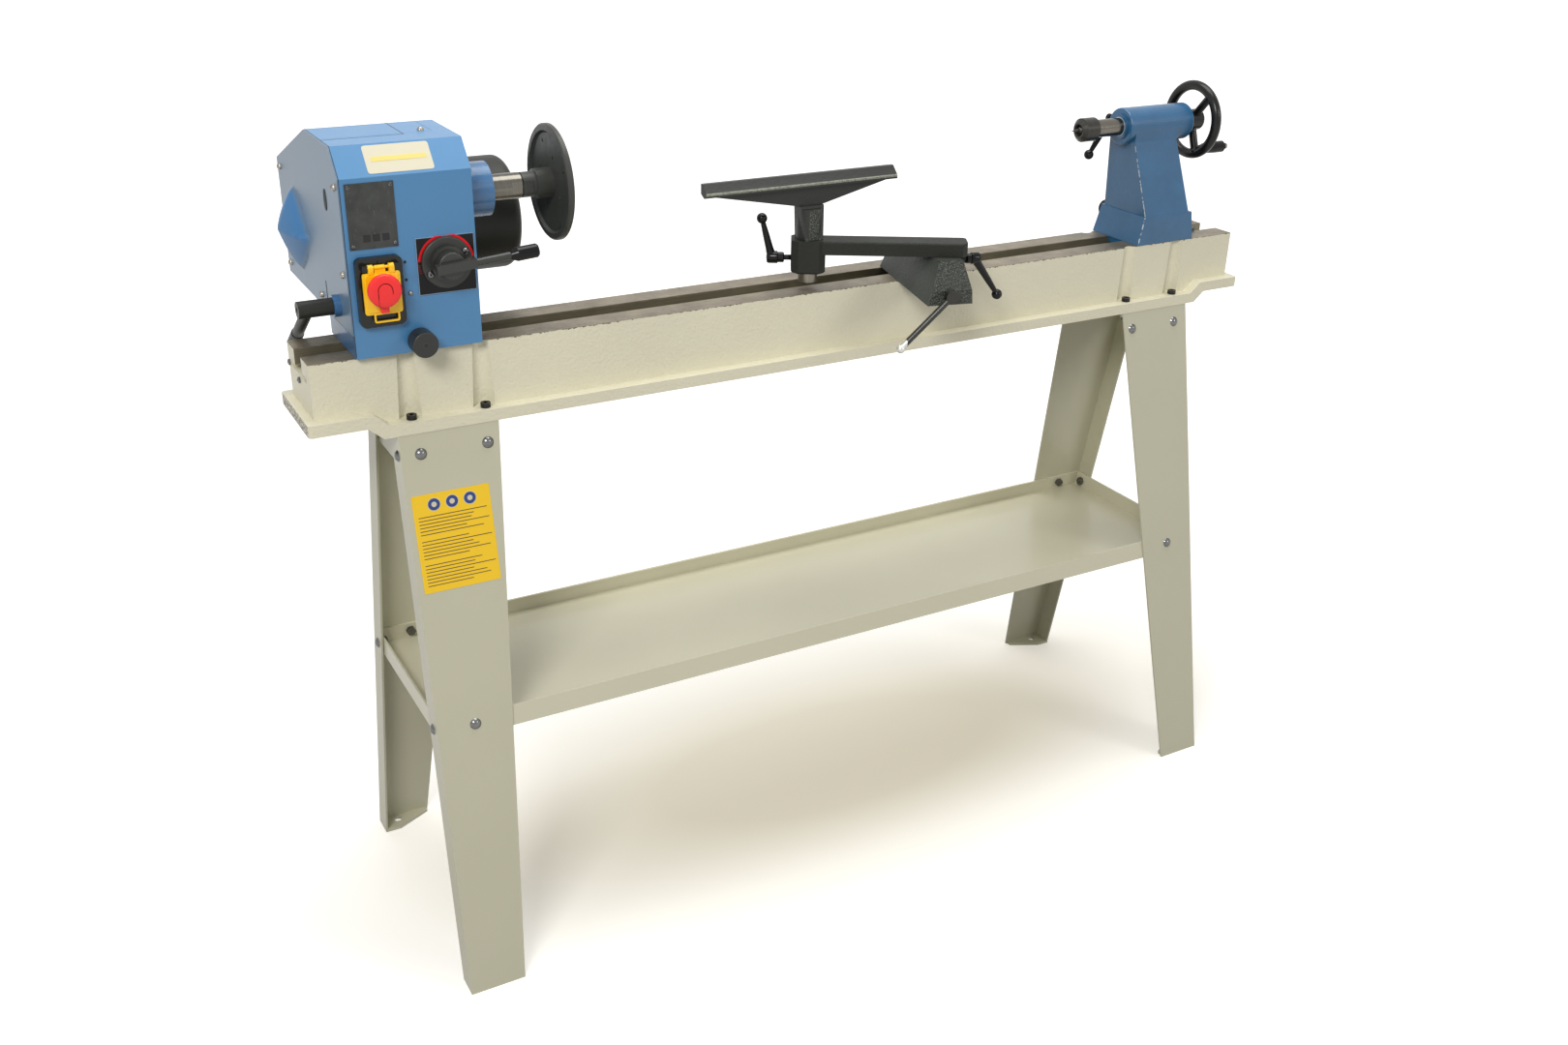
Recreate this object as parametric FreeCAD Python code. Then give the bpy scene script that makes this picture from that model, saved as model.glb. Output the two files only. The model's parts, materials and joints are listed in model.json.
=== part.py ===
import FreeCAD, Part
import math
import os

# Free-standing wood lathe, in millimetres.
# Origin on the floor under the middle of the bed, +X towards the tailstock,
# -Y towards the person who works at it, +Z up.

# ---- bed -------------------------------------------------------------------
bed_length = 1551.0
bed_height = 106.5
bed_width = 110.0
way_width = 37.0
way_depth = 22.0
web_thickness = 16.0
flange_reach = 73.0
flange_thickness = 16.5
flange_overhang = 12.0
flange_underside = 797.5
flange_step = 16.5
flange_step_start = 63.0
flange_step_run = 19.0
flange_corner = 6.0
bed_rib_thickness = 12.0
bed_rib_count = 5
bed_rib_drop = 52.0
bed_end_drop = 29.0
pocket_top_radius = 12.0
pocket_foot_radius = 16.0
bed_screw_insets = (123.0, 223.0)
bed_screw_reach = 60.0
bed_screw_radius = 4.0
end_stop_inset = 48.0
end_stop_length = 22.0
end_stop_rise = 5.0
end_stop_depth = 34.0

# ---- stand -----------------------------------------------------------------
sheet = 3.0
leg_top_inset = 99.5
leg_top_width = 136.5
leg_foot_inset = 88.0
leg_foot_width = 80.0
leg_top_reach = 72.0
leg_foot_reach = 234.5
leg_flange_depth = 36.5
flange_bolt_lift = 0.2
foot_plate_thickness = 5.0
foot_plate_reach = 38.0
foot_hole_radius = 6.5
foot_hole_inset_x = 26.0
foot_hole_inset_y = 17.0
bracket_thickness = 3.0
bracket_drop = 48.0
leg_bolt_drop = 27.0
leg_bolt_insets = (27.0, 118.0)
leg_bolt_radius = 4.0
shelf_height = 375.5
shelf_lip = 28.5
shelf_bolt_inset = 54.0

# ---- spindle line ----------------------------------------------------------
centre_height = 185.0
spindle_radius = 17.0
spindle_bore_radius = 5.0
spindle_nose_radius = 12.5
running_clearance = 0.05
body_gap = 0.3

# ---- headstock -------------------------------------------------------------
head_inset = 57.5
head_width = 166.0
head_front = 64.0
shoulder_rise = 227.0
roof_rise = 34.0
head_roof_front = 34.0
head_roof_rear = 85.0
head_rear = 268.0
rear_top_drop = 69.0
rear_bottom_rise = 32.0
head_skin = 2.5
head_base_height = 27.0
head_base_rear = 72.0
head_boss_radius = 35.0
head_boss_reach = 39.0
nose_reach = 44.5
bearing_radius = 26.0
bearing_width = 16.0
bearing_wall = 9.0
lid_front = 12.0
lid_thickness = 2.0
end_plate_thickness = 2.0
bulge_depth = 28.0
bulge_back = 180.0
bulge_rise = 115.0
bulge_up = 54.0
bulge_down = 57.5
bulge_behind = 65.0
bulge_ahead = 172.0
cover_slot_back = 6.0
cover_slot_rise = 179.0
cover_slot_length = 20.0
cover_screw_inset = 16.0
cover_screw_drop = 120.0
motor_back = 158.0
motor_rise = 114.0
motor_radius = 78.0
motor_length = 118.0
motor_round = 14.0
motor_shaft_radius = 10.0
spindle_pulley_radius = 46.0
motor_pulley_radius = 34.0
pulley_width = 24.0
pulley_inset = 22.0
pulley_rim = 2.5
pulley_groove = 5.0
belt_thickness = 4.0
belt_width = 15.0

# ---- controls on the headstock front ---------------------------------------
dial_inset = 125.6
dial_rise = 113.3
dial_plate_width = 75.0
dial_plate_height = 73.0
dial_plate_drop = 3.0
plate_thickness = 1.5
dial_radius = 33.0
dial_thickness = 5.0
dial_hub_radius = 17.5
dial_hub_depth = 20.0
dial_step_radius = 22.5
dial_step_depth = 8.0
dial_screw_reach = 26.5
speed_bar_height = 12.0
speed_bar_depth = 7.0
speed_bar_left = 22.0
speed_bar_right = 30.0
speed_lever_length = 45.0
speed_grip_length = 37.0
speed_lever_angle = 4.7
switch_inset = 9.5
switch_width = 58.0
switch_rise = 43.0
switch_height = 88.0
switch_depth = 9.0
flap_thickness = 8.0
flap_margin = 5.0
mushroom_radius = 21.0
mushroom_rise = 94.0
mushroom_shift = -1.0
mushroom_stand = 16.0
button_radius = 7.0
button_spread = 11.0
button_stand = 2.5
button_root = 4.0
name_plate_inset = 7.5
name_plate_width = 59.5
name_plate_rise = 140.5
name_plate_height = 80.5
panel_hole_inset = 73.3
panel_screw_inset = 77.2
panel_screw_rise = 78.5
knob_radius = 16.8
knob_length = 24.0
knob_rise = 17.5
knob_stand = 6.0
bush_radius = 8.8
index_pin_radius = 5.0
lever_tube_rise = 58.0
lever_tube_offset = -10.0
lever_tube_radius = 9.0
lever_tube_length = 44.0
swivel_lever_length = 128.0
swivel_lever_angle = -34.0

# ---- faceplate -------------------------------------------------------------
faceplate_radius = 76.0
faceplate_gap = 2.0
faceplate_hub_length = 38.0
faceplate_hub_radius = 19.5
faceplate_collar_radius = 16.5
faceplate_collar_length = 17.0
faceplate_rim = 9.0
faceplate_thickness = 8.5
faceplate_dish = 3.5
faceplate_pitch_radius = 55.0
faceplate_hole_radius = 2.6
nose_flats_length = 14.0

# ---- tailstock -------------------------------------------------------------
tail_inset = 89.0
tail_foot_length = 118.0
tail_foot_draft = 8.5
tail_foot_height = 46.0
tail_foot_front = 56.0
tail_foot_rear = 58.0
tail_tongue_depth = 9.0
slot_clearance = 0.5
tail_column_draft = 27.0
tail_lean_left = 14.5
tail_lean_right = 22.0
barrel_radius = 29.0
barrel_length = 133.0
barrel_lead = 17.0
barrel_ring_radius = 20.0
barrel_ring_length = 3.0
quill_radius = 14.0
quill_out = 51.0
quill_length = 129.0
centre_shank_length = 22.0
centre_shank_radius = 6.0
screw_start = 25.0
centre_radius = 18.5
centre_length = 31.0
centre_tip_length = 15.0
screw_radius = 7.0
wheel_radius = 63.0
wheel_rim_radius = 8.0
wheel_hub_radius = 17.0
wheel_hub_length = 34.0
wheel_spoke_radius = 6.5
wheel_handle_length = 52.0
wheel_handle_radius = 9.5
wheel_handle_angle = -109.5
wheel_handle_inset = 14.5
tail_lever_rise = 32.0
tail_lever_length = 82.0
tail_lever_shift = 22.0

# ---- tool rest -------------------------------------------------------------
banjo_inset = 874.5
banjo_front = 192.0
banjo_angle = -14.0
banjo_length = 214.0
banjo_width = 68.0
banjo_toe = 20.0
banjo_pedestal_left = -2.0
banjo_pedestal_width = 36.0
banjo_pedestal_start = 45.0
banjo_channel_width = 33.0
banjo_channel_start = 62.0
banjo_channel_end_wall = 7.0
banjo_channel_height = 33.0
banjo_crest = 130.0
banjo_rear_drop = 11.5
cam_rise = 14.0
cam_radius = 9.0
cam_bar_radius = 4.5
cam_bar_length = 103.5
cam_bar_angle = 44.5
cam_eye_radius = 14.5
clamp_bolt_radius = 6.5
clamp_plate_thickness = 12.0
arm_rise = 72.0
arm_thickness = 20.0
arm_width = 40.0
arm_pivot_across = 16.0
arm_pivot_along = 83.0
arm_reach = 197.0
arm_tail = 35.0
arm_angle = 151.2
arm_pin_radius = 11.0
arm_lock_drop = 9.0
arm_lock_across = 64.0
arm_lock_drop_end = 60.0
holder_half = 25.0
holder_chamfer = 10.0
holder_drop = 48.0
rest_lock_rise = 19.0
rest_lock_out = 42.0
rest_lock_up = 57.0
rest_length = 314.0
rest_offset = -14.5
rest_rise = 166.0
rest_blade_height = 17.5
rest_gusset = 45.0
post_radius = 14.0
post_rise = 7.0
ball_radius = 8.0
rod_radius = 4.0

# ---- worked out from the above ---------------------------------------------
left_end = -bed_length / 2
right_end = bed_length / 2
bed_top = flange_underside + bed_height
slot_half = bed_width / 2 - way_width
way_underside = bed_top - way_depth
flange_top = flange_underside + flange_thickness
axis_height = bed_top + centre_height
leg_slope = (leg_foot_reach - leg_top_reach) / flange_underside
head_left = left_end + head_inset
head_right = head_left + head_width
head_centre = head_left + head_width / 2
head_floor = bed_top + body_gap
head_shoulder = bed_top + shoulder_rise
head_roof = head_shoulder + roof_rise
head_rear_top = head_roof - rear_top_drop
head_rear_bottom = bed_top + rear_bottom_rise
motor_height = bed_top + motor_rise
dial_height = bed_top + dial_rise
switch_bottom = bed_top + switch_rise
mushroom_height = bed_top + mushroom_rise
name_plate_bottom = bed_top + name_plate_rise
lever_tube_height = bed_top + lever_tube_rise
arm_top = bed_top + arm_rise
holder_bottom = arm_top - holder_drop
rest_top = bed_top + rest_rise
post_bottom = bed_top + post_rise
tail_left = right_end - tail_inset - tail_foot_length
tail_right = right_end - tail_inset
nose_end = head_right + head_boss_reach + nose_reach
banjo_turn = math.radians(banjo_angle)
rest_x_axis = FreeCAD.Vector(math.cos(banjo_turn), math.sin(banjo_turn), 0)
rest_y_axis = FreeCAD.Vector(-rest_x_axis.y, rest_x_axis.x, 0)

X = FreeCAD.Vector(1, 0, 0)
Y = FreeCAD.Vector(0, 1, 0)
Z = FreeCAD.Vector(0, 0, 1)


# ---- shape helpers ---------------------------------------------------------
def point(x, y, z):
    return FreeCAD.Vector(x, y, z)


def box(x0, x1, y0, y1, z0, z1):
    return Part.makeBox(x1 - x0, y1 - y0, z1 - z0, point(x0, y0, z0))


def rod(start, direction, length, radius):
    return Part.makeCylinder(radius, length, start, direction)


def tube(start, direction, length, outer, inner):
    return rod(start, direction, length, outer).cut(rod(start, direction, length, inner))


def bar_between(a, b, radius):
    return rod(a, b - a, (b - a).Length, radius)


def prism(points, vector):
    return Part.Face(Part.makePolygon(points + [points[0]])).extrude(vector)


def join(shapes):
    return shapes[0].multiFuse(shapes[1:]).removeSplitter()


def revolve(profile, centre, axis, radial):
    """A solid of revolution from (distance along the axis, radius) pairs."""
    points = [centre + axis * a + radial * r for a, r in profile]
    return Part.Face(Part.makePolygon(points + [points[0]])).revolve(centre, axis, 360)


def mirror_x(shape):
    return shape.mirror(point(0, 0, 0), X)


def mirror_y(shape):
    return shape.mirror(point(0, 0, 0), Y)


def four_corners(shape):
    both = [shape, mirror_y(shape)]
    return both + [mirror_x(one) for one in both]


def hexagon(centre, axis, across, length):
    side = axis.cross(Z if abs(axis.z) < 0.9 else Y).normalize()
    other = axis.cross(side)
    radius = across / 2 / math.cos(math.radians(30))
    points = []
    for i in range(6):
        turn = math.radians(60 * i)
        points.append(centre + side * (radius * math.cos(turn)) + other * (radius * math.sin(turn)))
    return prism(points, axis * length)


def cap_screw(seat, axis, radius, length):
    """Socket head above the seat, shank of the given length below it."""
    head = rod(seat, axis, radius * 1.6, radius * 1.7)
    socket = hexagon(seat + axis * (radius * 0.7), axis, radius * 1.5, radius)
    return join([head.cut(socket), rod(seat - axis * length, axis, length, radius)])


def dome_bolt(seat, axis, radius, length):
    """Domed head above the seat, shank of the given length below it."""
    crown = Part.makeSphere(radius * 2.4, seat - axis * (radius * 1.3))
    crown = crown.common(rod(seat, axis, radius * 3, radius * 2.4))
    return join([crown, rod(seat - axis * length, axis, length, radius)])


def nut(seat, axis, radius):
    return hexagon(seat, axis, radius * 3.2, radius * 1.6).cut(rod(seat, axis, radius * 1.6, radius))


def pan_screw(seat, axis, radius):
    crown = Part.makeSphere(radius, seat)
    slot = box(-radius, radius, -0.4, 0.4, -radius, radius)
    slot.Placement = FreeCAD.Placement(seat + axis * (radius * 1.4), FreeCAD.Rotation(Z, axis))
    return crown.common(rod(seat, axis, radius, radius)).cut(slot)


def balled_bar(a, b, radius, ball):
    """A bar that ends in a ball whose poles lie along the bar."""
    along = (b - a).normalize()
    return join([bar_between(a, b, radius), Part.makeSphere(ball, b, along)])


def ball_lever(seat, axis, hub_radius, hub_length, knee, end):
    """A hub on a screw axis, with a rod that leaves it sideways and ends in a ball."""
    hub = rod(seat, axis, hub_length, hub_radius)
    return join([hub, balled_bar(seat + axis * knee, end, rod_radius, ball_radius)])


# ---- bed -------------------------------------------------------------------
def flange_profile(reach):
    """The bed's flange seen from the front, with its ends a step higher than its middle."""
    low = flange_underside
    high = low + flange_step
    rise = flange_step_start + flange_step_run
    lift = flange_thickness
    shift = flange_step_run * 0.5
    half = [
        (left_end - flange_overhang, high),
        (left_end + flange_step_start, high),
        (left_end + rise, low),
    ]
    upper = [
        (left_end + rise + shift, low + lift),
        (left_end + flange_step_start + shift, high + lift),
        (left_end - flange_overhang, high + lift),
    ]
    outline = half + [(-x, z) for x, z in reversed(half)]
    outline += [(-x, z) for x, z in reversed(upper)] + upper
    return [point(x, -reach, z) for x, z in outline]


def make_bed():
    ways = []
    for side in (-1, 1):
        inner = side * slot_half
        outer = side * bed_width / 2
        wall = side * (bed_width / 2 - web_thickness)
        y0, y1 = sorted((inner, outer))
        w0, w1 = sorted((wall, outer))
        ways.append(box(left_end, right_end, y0, y1, way_underside, bed_top))
        ways.append(box(left_end, right_end, w0, w1, flange_top, way_underside))
    flange = prism(flange_profile(flange_reach), Y * (2 * flange_reach))
    upright = [e for e in flange.Edges if len(e.Vertexes) == 2
               and abs(e.tangentAt(e.FirstParameter).z) > 0.99 and abs(e.CenterOfMass.x) > right_end]
    flange = flange.makeFillet(flange_corner, upright)
    opening = box(left_end + 60, right_end - 60, -bed_width / 2 + web_thickness,
                  bed_width / 2 - web_thickness, 0, way_underside)
    inner_half = bed_width / 2 - web_thickness
    ribs = []
    pitch = (bed_length - bed_rib_thickness) / (bed_rib_count - 1)
    for i in range(bed_rib_count):
        x = left_end + i * pitch
        drop = bed_end_drop if i in (0, bed_rib_count - 1) else bed_rib_drop
        ribs.append(box(x, x + bed_rib_thickness, -inner_half, inner_half, flange_top, bed_top - drop))
    bed = join([flange.cut(opening)] + ways + ribs)
    for inset in bed_screw_insets:
        pocket = Part.makeCone(pocket_foot_radius, pocket_top_radius, bed_top - flange_top,
                               point(left_end + inset, -bed_screw_reach, flange_top), Z)
        hole = rod(point(left_end + inset, -bed_screw_reach, 0), Z, flange_top + 1,
                   bed_screw_radius + 0.5)
        for cutter in four_corners(pocket) + four_corners(hole):
            bed = bed.cut(cutter)
    return bed


def make_bed_screws():
    screws = []
    length = flange_thickness + bracket_thickness + 12
    for inset in bed_screw_insets:
        seat = point(left_end + inset, -bed_screw_reach, flange_top)
        screws += four_corners(cap_screw(seat, Z, bed_screw_radius, length))
    return Part.makeCompound(screws)


def make_end_stop():
    x1 = right_end - end_stop_inset
    half = slot_half - slot_clearance
    block = box(x1 - end_stop_length, x1, -half, half, bed_top - end_stop_depth, bed_top + end_stop_rise)
    ears = box(x1 - end_stop_length, x1, -slot_half - 8, slot_half + 8, bed_top - end_stop_depth,
               way_underside)
    middle = point(x1 - end_stop_length / 2, 0, bed_top + end_stop_rise)
    bolt = cap_screw(middle, Z, 4.0, end_stop_depth)
    return join([block, ears, bolt])


# ---- stand -----------------------------------------------------------------
def leg_point(x_top, x_foot, z):
    """A point on the sloping outside face of the front left leg, at one height."""
    share = 1 - z / flange_underside
    return point(left_end + x_top + (x_foot - x_top) * share,
                 -leg_top_reach - leg_slope * (flange_underside - z), z)


leg_inward = FreeCAD.Vector(0, 1, -leg_slope).normalize()
sheet_across = sheet / leg_inward.y


def make_leg():
    """Front left leg: a wide sloping face, a side flange and a foot plate, folded from one sheet."""
    over = 30.0
    far_top = leg_top_inset + leg_top_width
    far_foot = leg_foot_inset + leg_foot_width
    tops = [leg_point(leg_top_inset, leg_foot_inset, flange_underside + over),
            leg_point(far_top, far_foot, flange_underside + over)]
    feet = [leg_point(far_top, far_foot, -over), leg_point(leg_top_inset, leg_foot_inset, -over)]
    face = prism(tops + feet, leg_inward * sheet)
    depth = leg_inward * leg_flange_depth
    flange = prism([tops[0], feet[1], feet[1] + depth, tops[0] + depth], X * sheet)
    slab = box(left_end - 100, 0, -leg_foot_reach - 50, 0, 0, flange_underside)
    foot = leg_point(leg_top_inset, leg_foot_inset, 0)
    x0 = foot.x + 1
    y0 = foot.y + 1
    x1 = x0 + leg_foot_width - 4
    y1 = y0 + foot_plate_reach
    plate = prism([point(x0, y0, 0), point(x1, y0, 0), point(x1, y0 + 12, 0), point(x0 + 24, y1, 0),
                   point(x0, y1, 0)], Z * foot_plate_thickness)
    plate = plate.cut(foot_hole_rod())
    leg = join([face.common(slab), flange.common(slab), plate])
    return leg.cut(Part.makeCompound([bolt[0] for bolt in leg_bolt_rods()]))


def foot_hole_rod():
    foot = leg_point(leg_top_inset, leg_foot_inset, 0)
    centre = point(foot.x + foot_hole_inset_x, foot.y + foot_hole_inset_y, -1)
    return rod(centre, Z, foot_plate_thickness + 2, foot_hole_radius)


def leg_bolt_seats():
    """Seat and outward axis of the bolts in the front left leg: two in the face, one in the flange."""
    seats = []
    z = flange_underside - leg_bolt_drop
    for inset in leg_bolt_insets:
        on_face = leg_point(leg_top_inset + inset, leg_foot_inset + inset, z)
        seats.append((on_face, leg_inward * -1))
    corner = leg_point(leg_top_inset, leg_foot_inset, z)
    seats.append((corner + leg_inward * 14.0 - X * flange_bolt_lift, X * -1))
    return seats


def shelf_bolt_seats():
    z = shelf_height + shelf_lip * 0.62
    on_face = leg_point(leg_top_inset + shelf_bolt_inset, leg_foot_inset + shelf_bolt_inset, z)
    corner = leg_point(leg_top_inset, leg_foot_inset, z)
    return [(on_face, leg_inward * -1), (corner + leg_inward * 20.0 - X * flange_bolt_lift, X * -1)]


def leg_bolt_rods():
    rods = []
    for seat, axis in leg_bolt_seats() + shelf_bolt_seats():
        rods.append((rod(seat - axis * 30, axis, 40, leg_bolt_radius + 0.3), seat))
    return rods


def make_bracket():
    """Left end bracket: a plate under the bed with its edges folded down inside the legs."""
    inside = leg_inward * sheet
    low = flange_underside - bracket_drop
    x0 = leg_top_inset + sheet + 1
    x1 = leg_top_inset + leg_top_width - 8
    edge = [leg_point(x0, x0, flange_underside) + inside, leg_point(x1, x1, flange_underside) + inside,
            leg_point(x1, x1, low) + inside, leg_point(x0, x0, low) + inside]
    front = prism(edge, leg_inward * bracket_thickness)
    reach = leg_top_reach - sheet
    plate = box(left_end + x0, left_end + x1, -reach + 1, reach - 1,
                flange_underside - bracket_thickness, flange_underside)
    foot_y = leg_point(0, 0, low).y + sheet_across + 1
    head_y = leg_point(0, 0, flange_underside).y + sheet_across + 1
    end = prism([point(left_end + x0, foot_y, low), point(left_end + x0, -foot_y, low),
                 point(left_end + x0, -head_y, flange_underside),
                 point(left_end + x0, head_y, flange_underside)], X * bracket_thickness)
    below = box(left_end, 0, -200, 200, 0, flange_underside)
    bracket = join([plate, end, front.common(below), mirror_y(front).common(below)])
    for inset in bed_screw_insets:
        for side in (-1, 1):
            bracket = bracket.cut(rod(point(left_end + inset, side * bed_screw_reach, low), Z, 100,
                                      bed_screw_radius + 0.5))
    holes = [bolt[0] for bolt in leg_bolt_rods()[:3]]
    return bracket.cut(Part.makeCompound(holes + [mirror_y(hole) for hole in holes]))


def make_leg_bolts():
    bolts = []
    for seat, axis in leg_bolt_seats():
        bolts += four_corners(dome_bolt(seat, axis, leg_bolt_radius, 16))
    return Part.makeCompound(bolts)


def make_leg_nuts():
    nuts = []
    seats = leg_bolt_seats()
    for seat, axis in seats[:2]:
        nuts += four_corners(nut(seat - axis * (sheet + bracket_thickness), axis * -1, leg_bolt_radius))
    for seat, axis in seats[2:]:
        nuts += four_corners(nut(seat - axis * (sheet + bracket_thickness + 2), axis * -1, leg_bolt_radius))
    for inset in bed_screw_insets:
        seat = point(left_end + inset, -bed_screw_reach, flange_underside - bracket_thickness)
        nuts += four_corners(nut(seat, Z * -1, bed_screw_radius))
    return Part.makeCompound(nuts)


def make_shelf():
    """Tray with its four edges folded up, each edge lying against the legs."""
    z0 = shelf_height
    z1 = shelf_height + shelf_lip
    x0 = leg_point(leg_top_inset, leg_foot_inset, z1).x + sheet + 1
    low = leg_point(0, 0, z0) + Y * sheet_across
    high = leg_point(0, 0, z1) + Y * sheet_across
    front = prism([point(x0, low.y, z0), point(-x0, low.y, z0), point(-x0, high.y, z1),
                   point(x0, high.y, z1)], leg_inward * sheet)
    floor = box(x0, -x0, low.y + 1, -low.y - 1, z0, z0 + sheet)
    end = prism([point(x0, low.y, z0), point(x0, -low.y, z0), point(x0, -high.y, z1),
                 point(x0, high.y, z1)], X * sheet)
    slab = box(x0, -x0, low.y, -low.y, z0, z1)
    tray = join([floor, front.common(slab), mirror_y(front).common(slab), end, mirror_x(end)])
    holes = []
    for bolt in leg_bolt_rods()[3:]:
        holes += four_corners(bolt[0])
    return tray.cut(Part.makeCompound(holes))


def make_shelf_bolts():
    pieces = []
    for (seat, axis), slack in zip(shelf_bolt_seats(), (1.2, 1.4)):
        bolt = dome_bolt(seat, axis, leg_bolt_radius, 14)
        backing = nut(seat - axis * (2 * sheet + slack), axis * -1, leg_bolt_radius)
        pieces += four_corners(join([bolt, backing]))
    return Part.makeCompound(pieces)


# ---- headstock -------------------------------------------------------------
def head_outline(x, inset):
    """The headstock seen from its end, as points in one plane, drawn in by the inset."""
    return [
        point(x, -head_front + inset, head_floor + 1),
        point(x, -head_front + inset, head_shoulder),
        point(x, -head_roof_front + inset, head_roof - inset),
        point(x, head_roof_rear, head_roof - inset),
        point(x, head_rear - inset, head_rear_top - inset * 0.5),
        point(x, head_rear - inset, head_rear_bottom + inset),
        point(x, head_base_rear + 14, head_rear_bottom + inset),
        point(x, head_base_rear + 14, head_floor + 1 + head_base_height),
        point(x, head_base_rear + 1, head_floor + 1 + head_base_height),
        point(x, head_base_rear + 1, head_floor + 1),
    ]


def spindle_point(x):
    return point(x, 0, axis_height)


def motor_point(x):
    return point(x, motor_back, motor_height)


def make_headstock_housing():
    x0 = head_left + end_plate_thickness
    x1 = head_right
    shell = prism(head_outline(x0, 0), X * (x1 - x0))
    hollow = prism(head_outline(x0 - 1, head_skin), X * (x1 - x0 + 1 - head_skin))
    base_room = box(x0 - 1, x1 + 1, -head_front + head_skin, head_base_rear + 2,
                    head_floor, head_floor + head_base_height + 2)
    shell = shell.cut(hollow).cut(base_room)
    shell = shell.cut(rod(spindle_point(x1 - 10), X, 20, head_boss_radius + body_gap))
    shell = shell.cut(rod(motor_point(x1 - 10), X, 20, motor_shaft_radius + 6))
    lid_room = box(x0 - 1, x1 - head_skin - 20, lid_front, head_roof_rear - 4, head_roof - head_skin - 1,
                   head_roof + 1)
    shell = shell.cut(lid_room)
    front = -head_front - 1
    for z in (dial_height + 5.4, dial_height - 17.3):
        shell = shell.cut(rod(point(head_left + panel_hole_inset, front, z), Y, 10, 2.0))
    shell = shell.cut(rod(point(head_centre, front, bed_top + knob_rise), Y, 10,
                          bush_radius + body_gap))
    return shell.cut(rod(point(head_left + dial_inset, front, dial_height), Y, 10, 6.5))


def make_headstock_base():
    """Casting on the bed: foot, bearing barrel with its nose boss, and the wall that carries it."""
    x0 = head_left + end_plate_thickness + 1
    x1 = head_right - head_skin - 0.5
    z1 = head_floor + head_base_height
    foot = box(x0, x1, -head_front + head_skin + 0.5, head_base_rear, head_floor, z1)
    rear = [e for e in foot.Edges if abs(e.tangentAt(0).z) > 0.99 and e.CenterOfMass.y > 0]
    foot = foot.makeFillet(10, rear)
    wall = prism([point(x1 - 26, -50, z1), point(x1 - 26, 60, z1), point(x1 - 26, 30, axis_height),
                  point(x1 - 26, -30, axis_height)], X * 26)
    barrel_start = head_centre - 20
    barrel_length = head_right + head_boss_reach - barrel_start
    barrel = rod(spindle_point(barrel_start), X, barrel_length, head_boss_radius)
    mount_plate = box(x1 - 8, x1, head_base_rear - 30, head_rear - 20, z1 + 12, motor_height + 46)
    strut = box(x1 - 26, x1, 20, 60, z1, motor_height)
    lever_boss = rod(point(head_left - 9, lever_tube_offset, lever_tube_height), X,
                     head_centre - 40 - head_left + 9, lever_tube_radius + 5)
    lever_wall = box(head_centre - 60, head_centre - 40, -30, 20, z1, lever_tube_height + 8)
    base = join([foot, wall, barrel, mount_plate, strut, lever_boss, lever_wall])
    bore = rod(spindle_point(barrel_start - 1), X, 400, spindle_radius + 4)
    seat_a = rod(spindle_point(barrel_start - 1), X, bearing_width + 1, bearing_radius)
    seat_b = rod(spindle_point(head_right + head_boss_reach - bearing_width - 3), X, 40, bearing_radius)
    base = base.cut(bore).cut(seat_a).cut(seat_b)
    base = base.cut(rod(motor_point(x1 - 40), X, 60, motor_shaft_radius + 6))
    base = base.cut(rod(point(head_left - 40, lever_tube_offset, lever_tube_height), X,
                        head_centre - 45 - head_left + 40, lever_tube_radius + running_clearance))
    pin_hole = rod(point(head_centre, -head_front - 5, bed_top + knob_rise), Y, 45,
                   index_pin_radius + running_clearance)
    bush_hole = rod(point(head_centre, -head_front - 5, bed_top + knob_rise), Y, 22, bush_radius)
    spigot = rod(point(head_centre, 0, bed_top - way_depth + 2), Z, way_depth, slot_half - slot_clearance)
    bolt_hole = rod(point(head_centre, 0, 0), Z, z1 - 6, 6)
    return join([base.cut(pin_hole).cut(bush_hole), spigot]).cut(bolt_hole)


def make_swivel_clamp():
    """Bolt down the pivot of the headstock, with a round plate that grips the ways from below."""
    reach = bed_width / 2 - web_thickness - 3
    plate = rod(point(head_centre, 0, way_underside - body_gap - 12), Z, 12, reach)
    top = head_floor + head_base_height - 8
    shank = rod(point(head_centre, 0, way_underside - 30), Z, top - way_underside + 30, 5.8)
    return join([plate, shank, hexagon(point(head_centre, 0, way_underside - 22), Z, 19, 10)])


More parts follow.
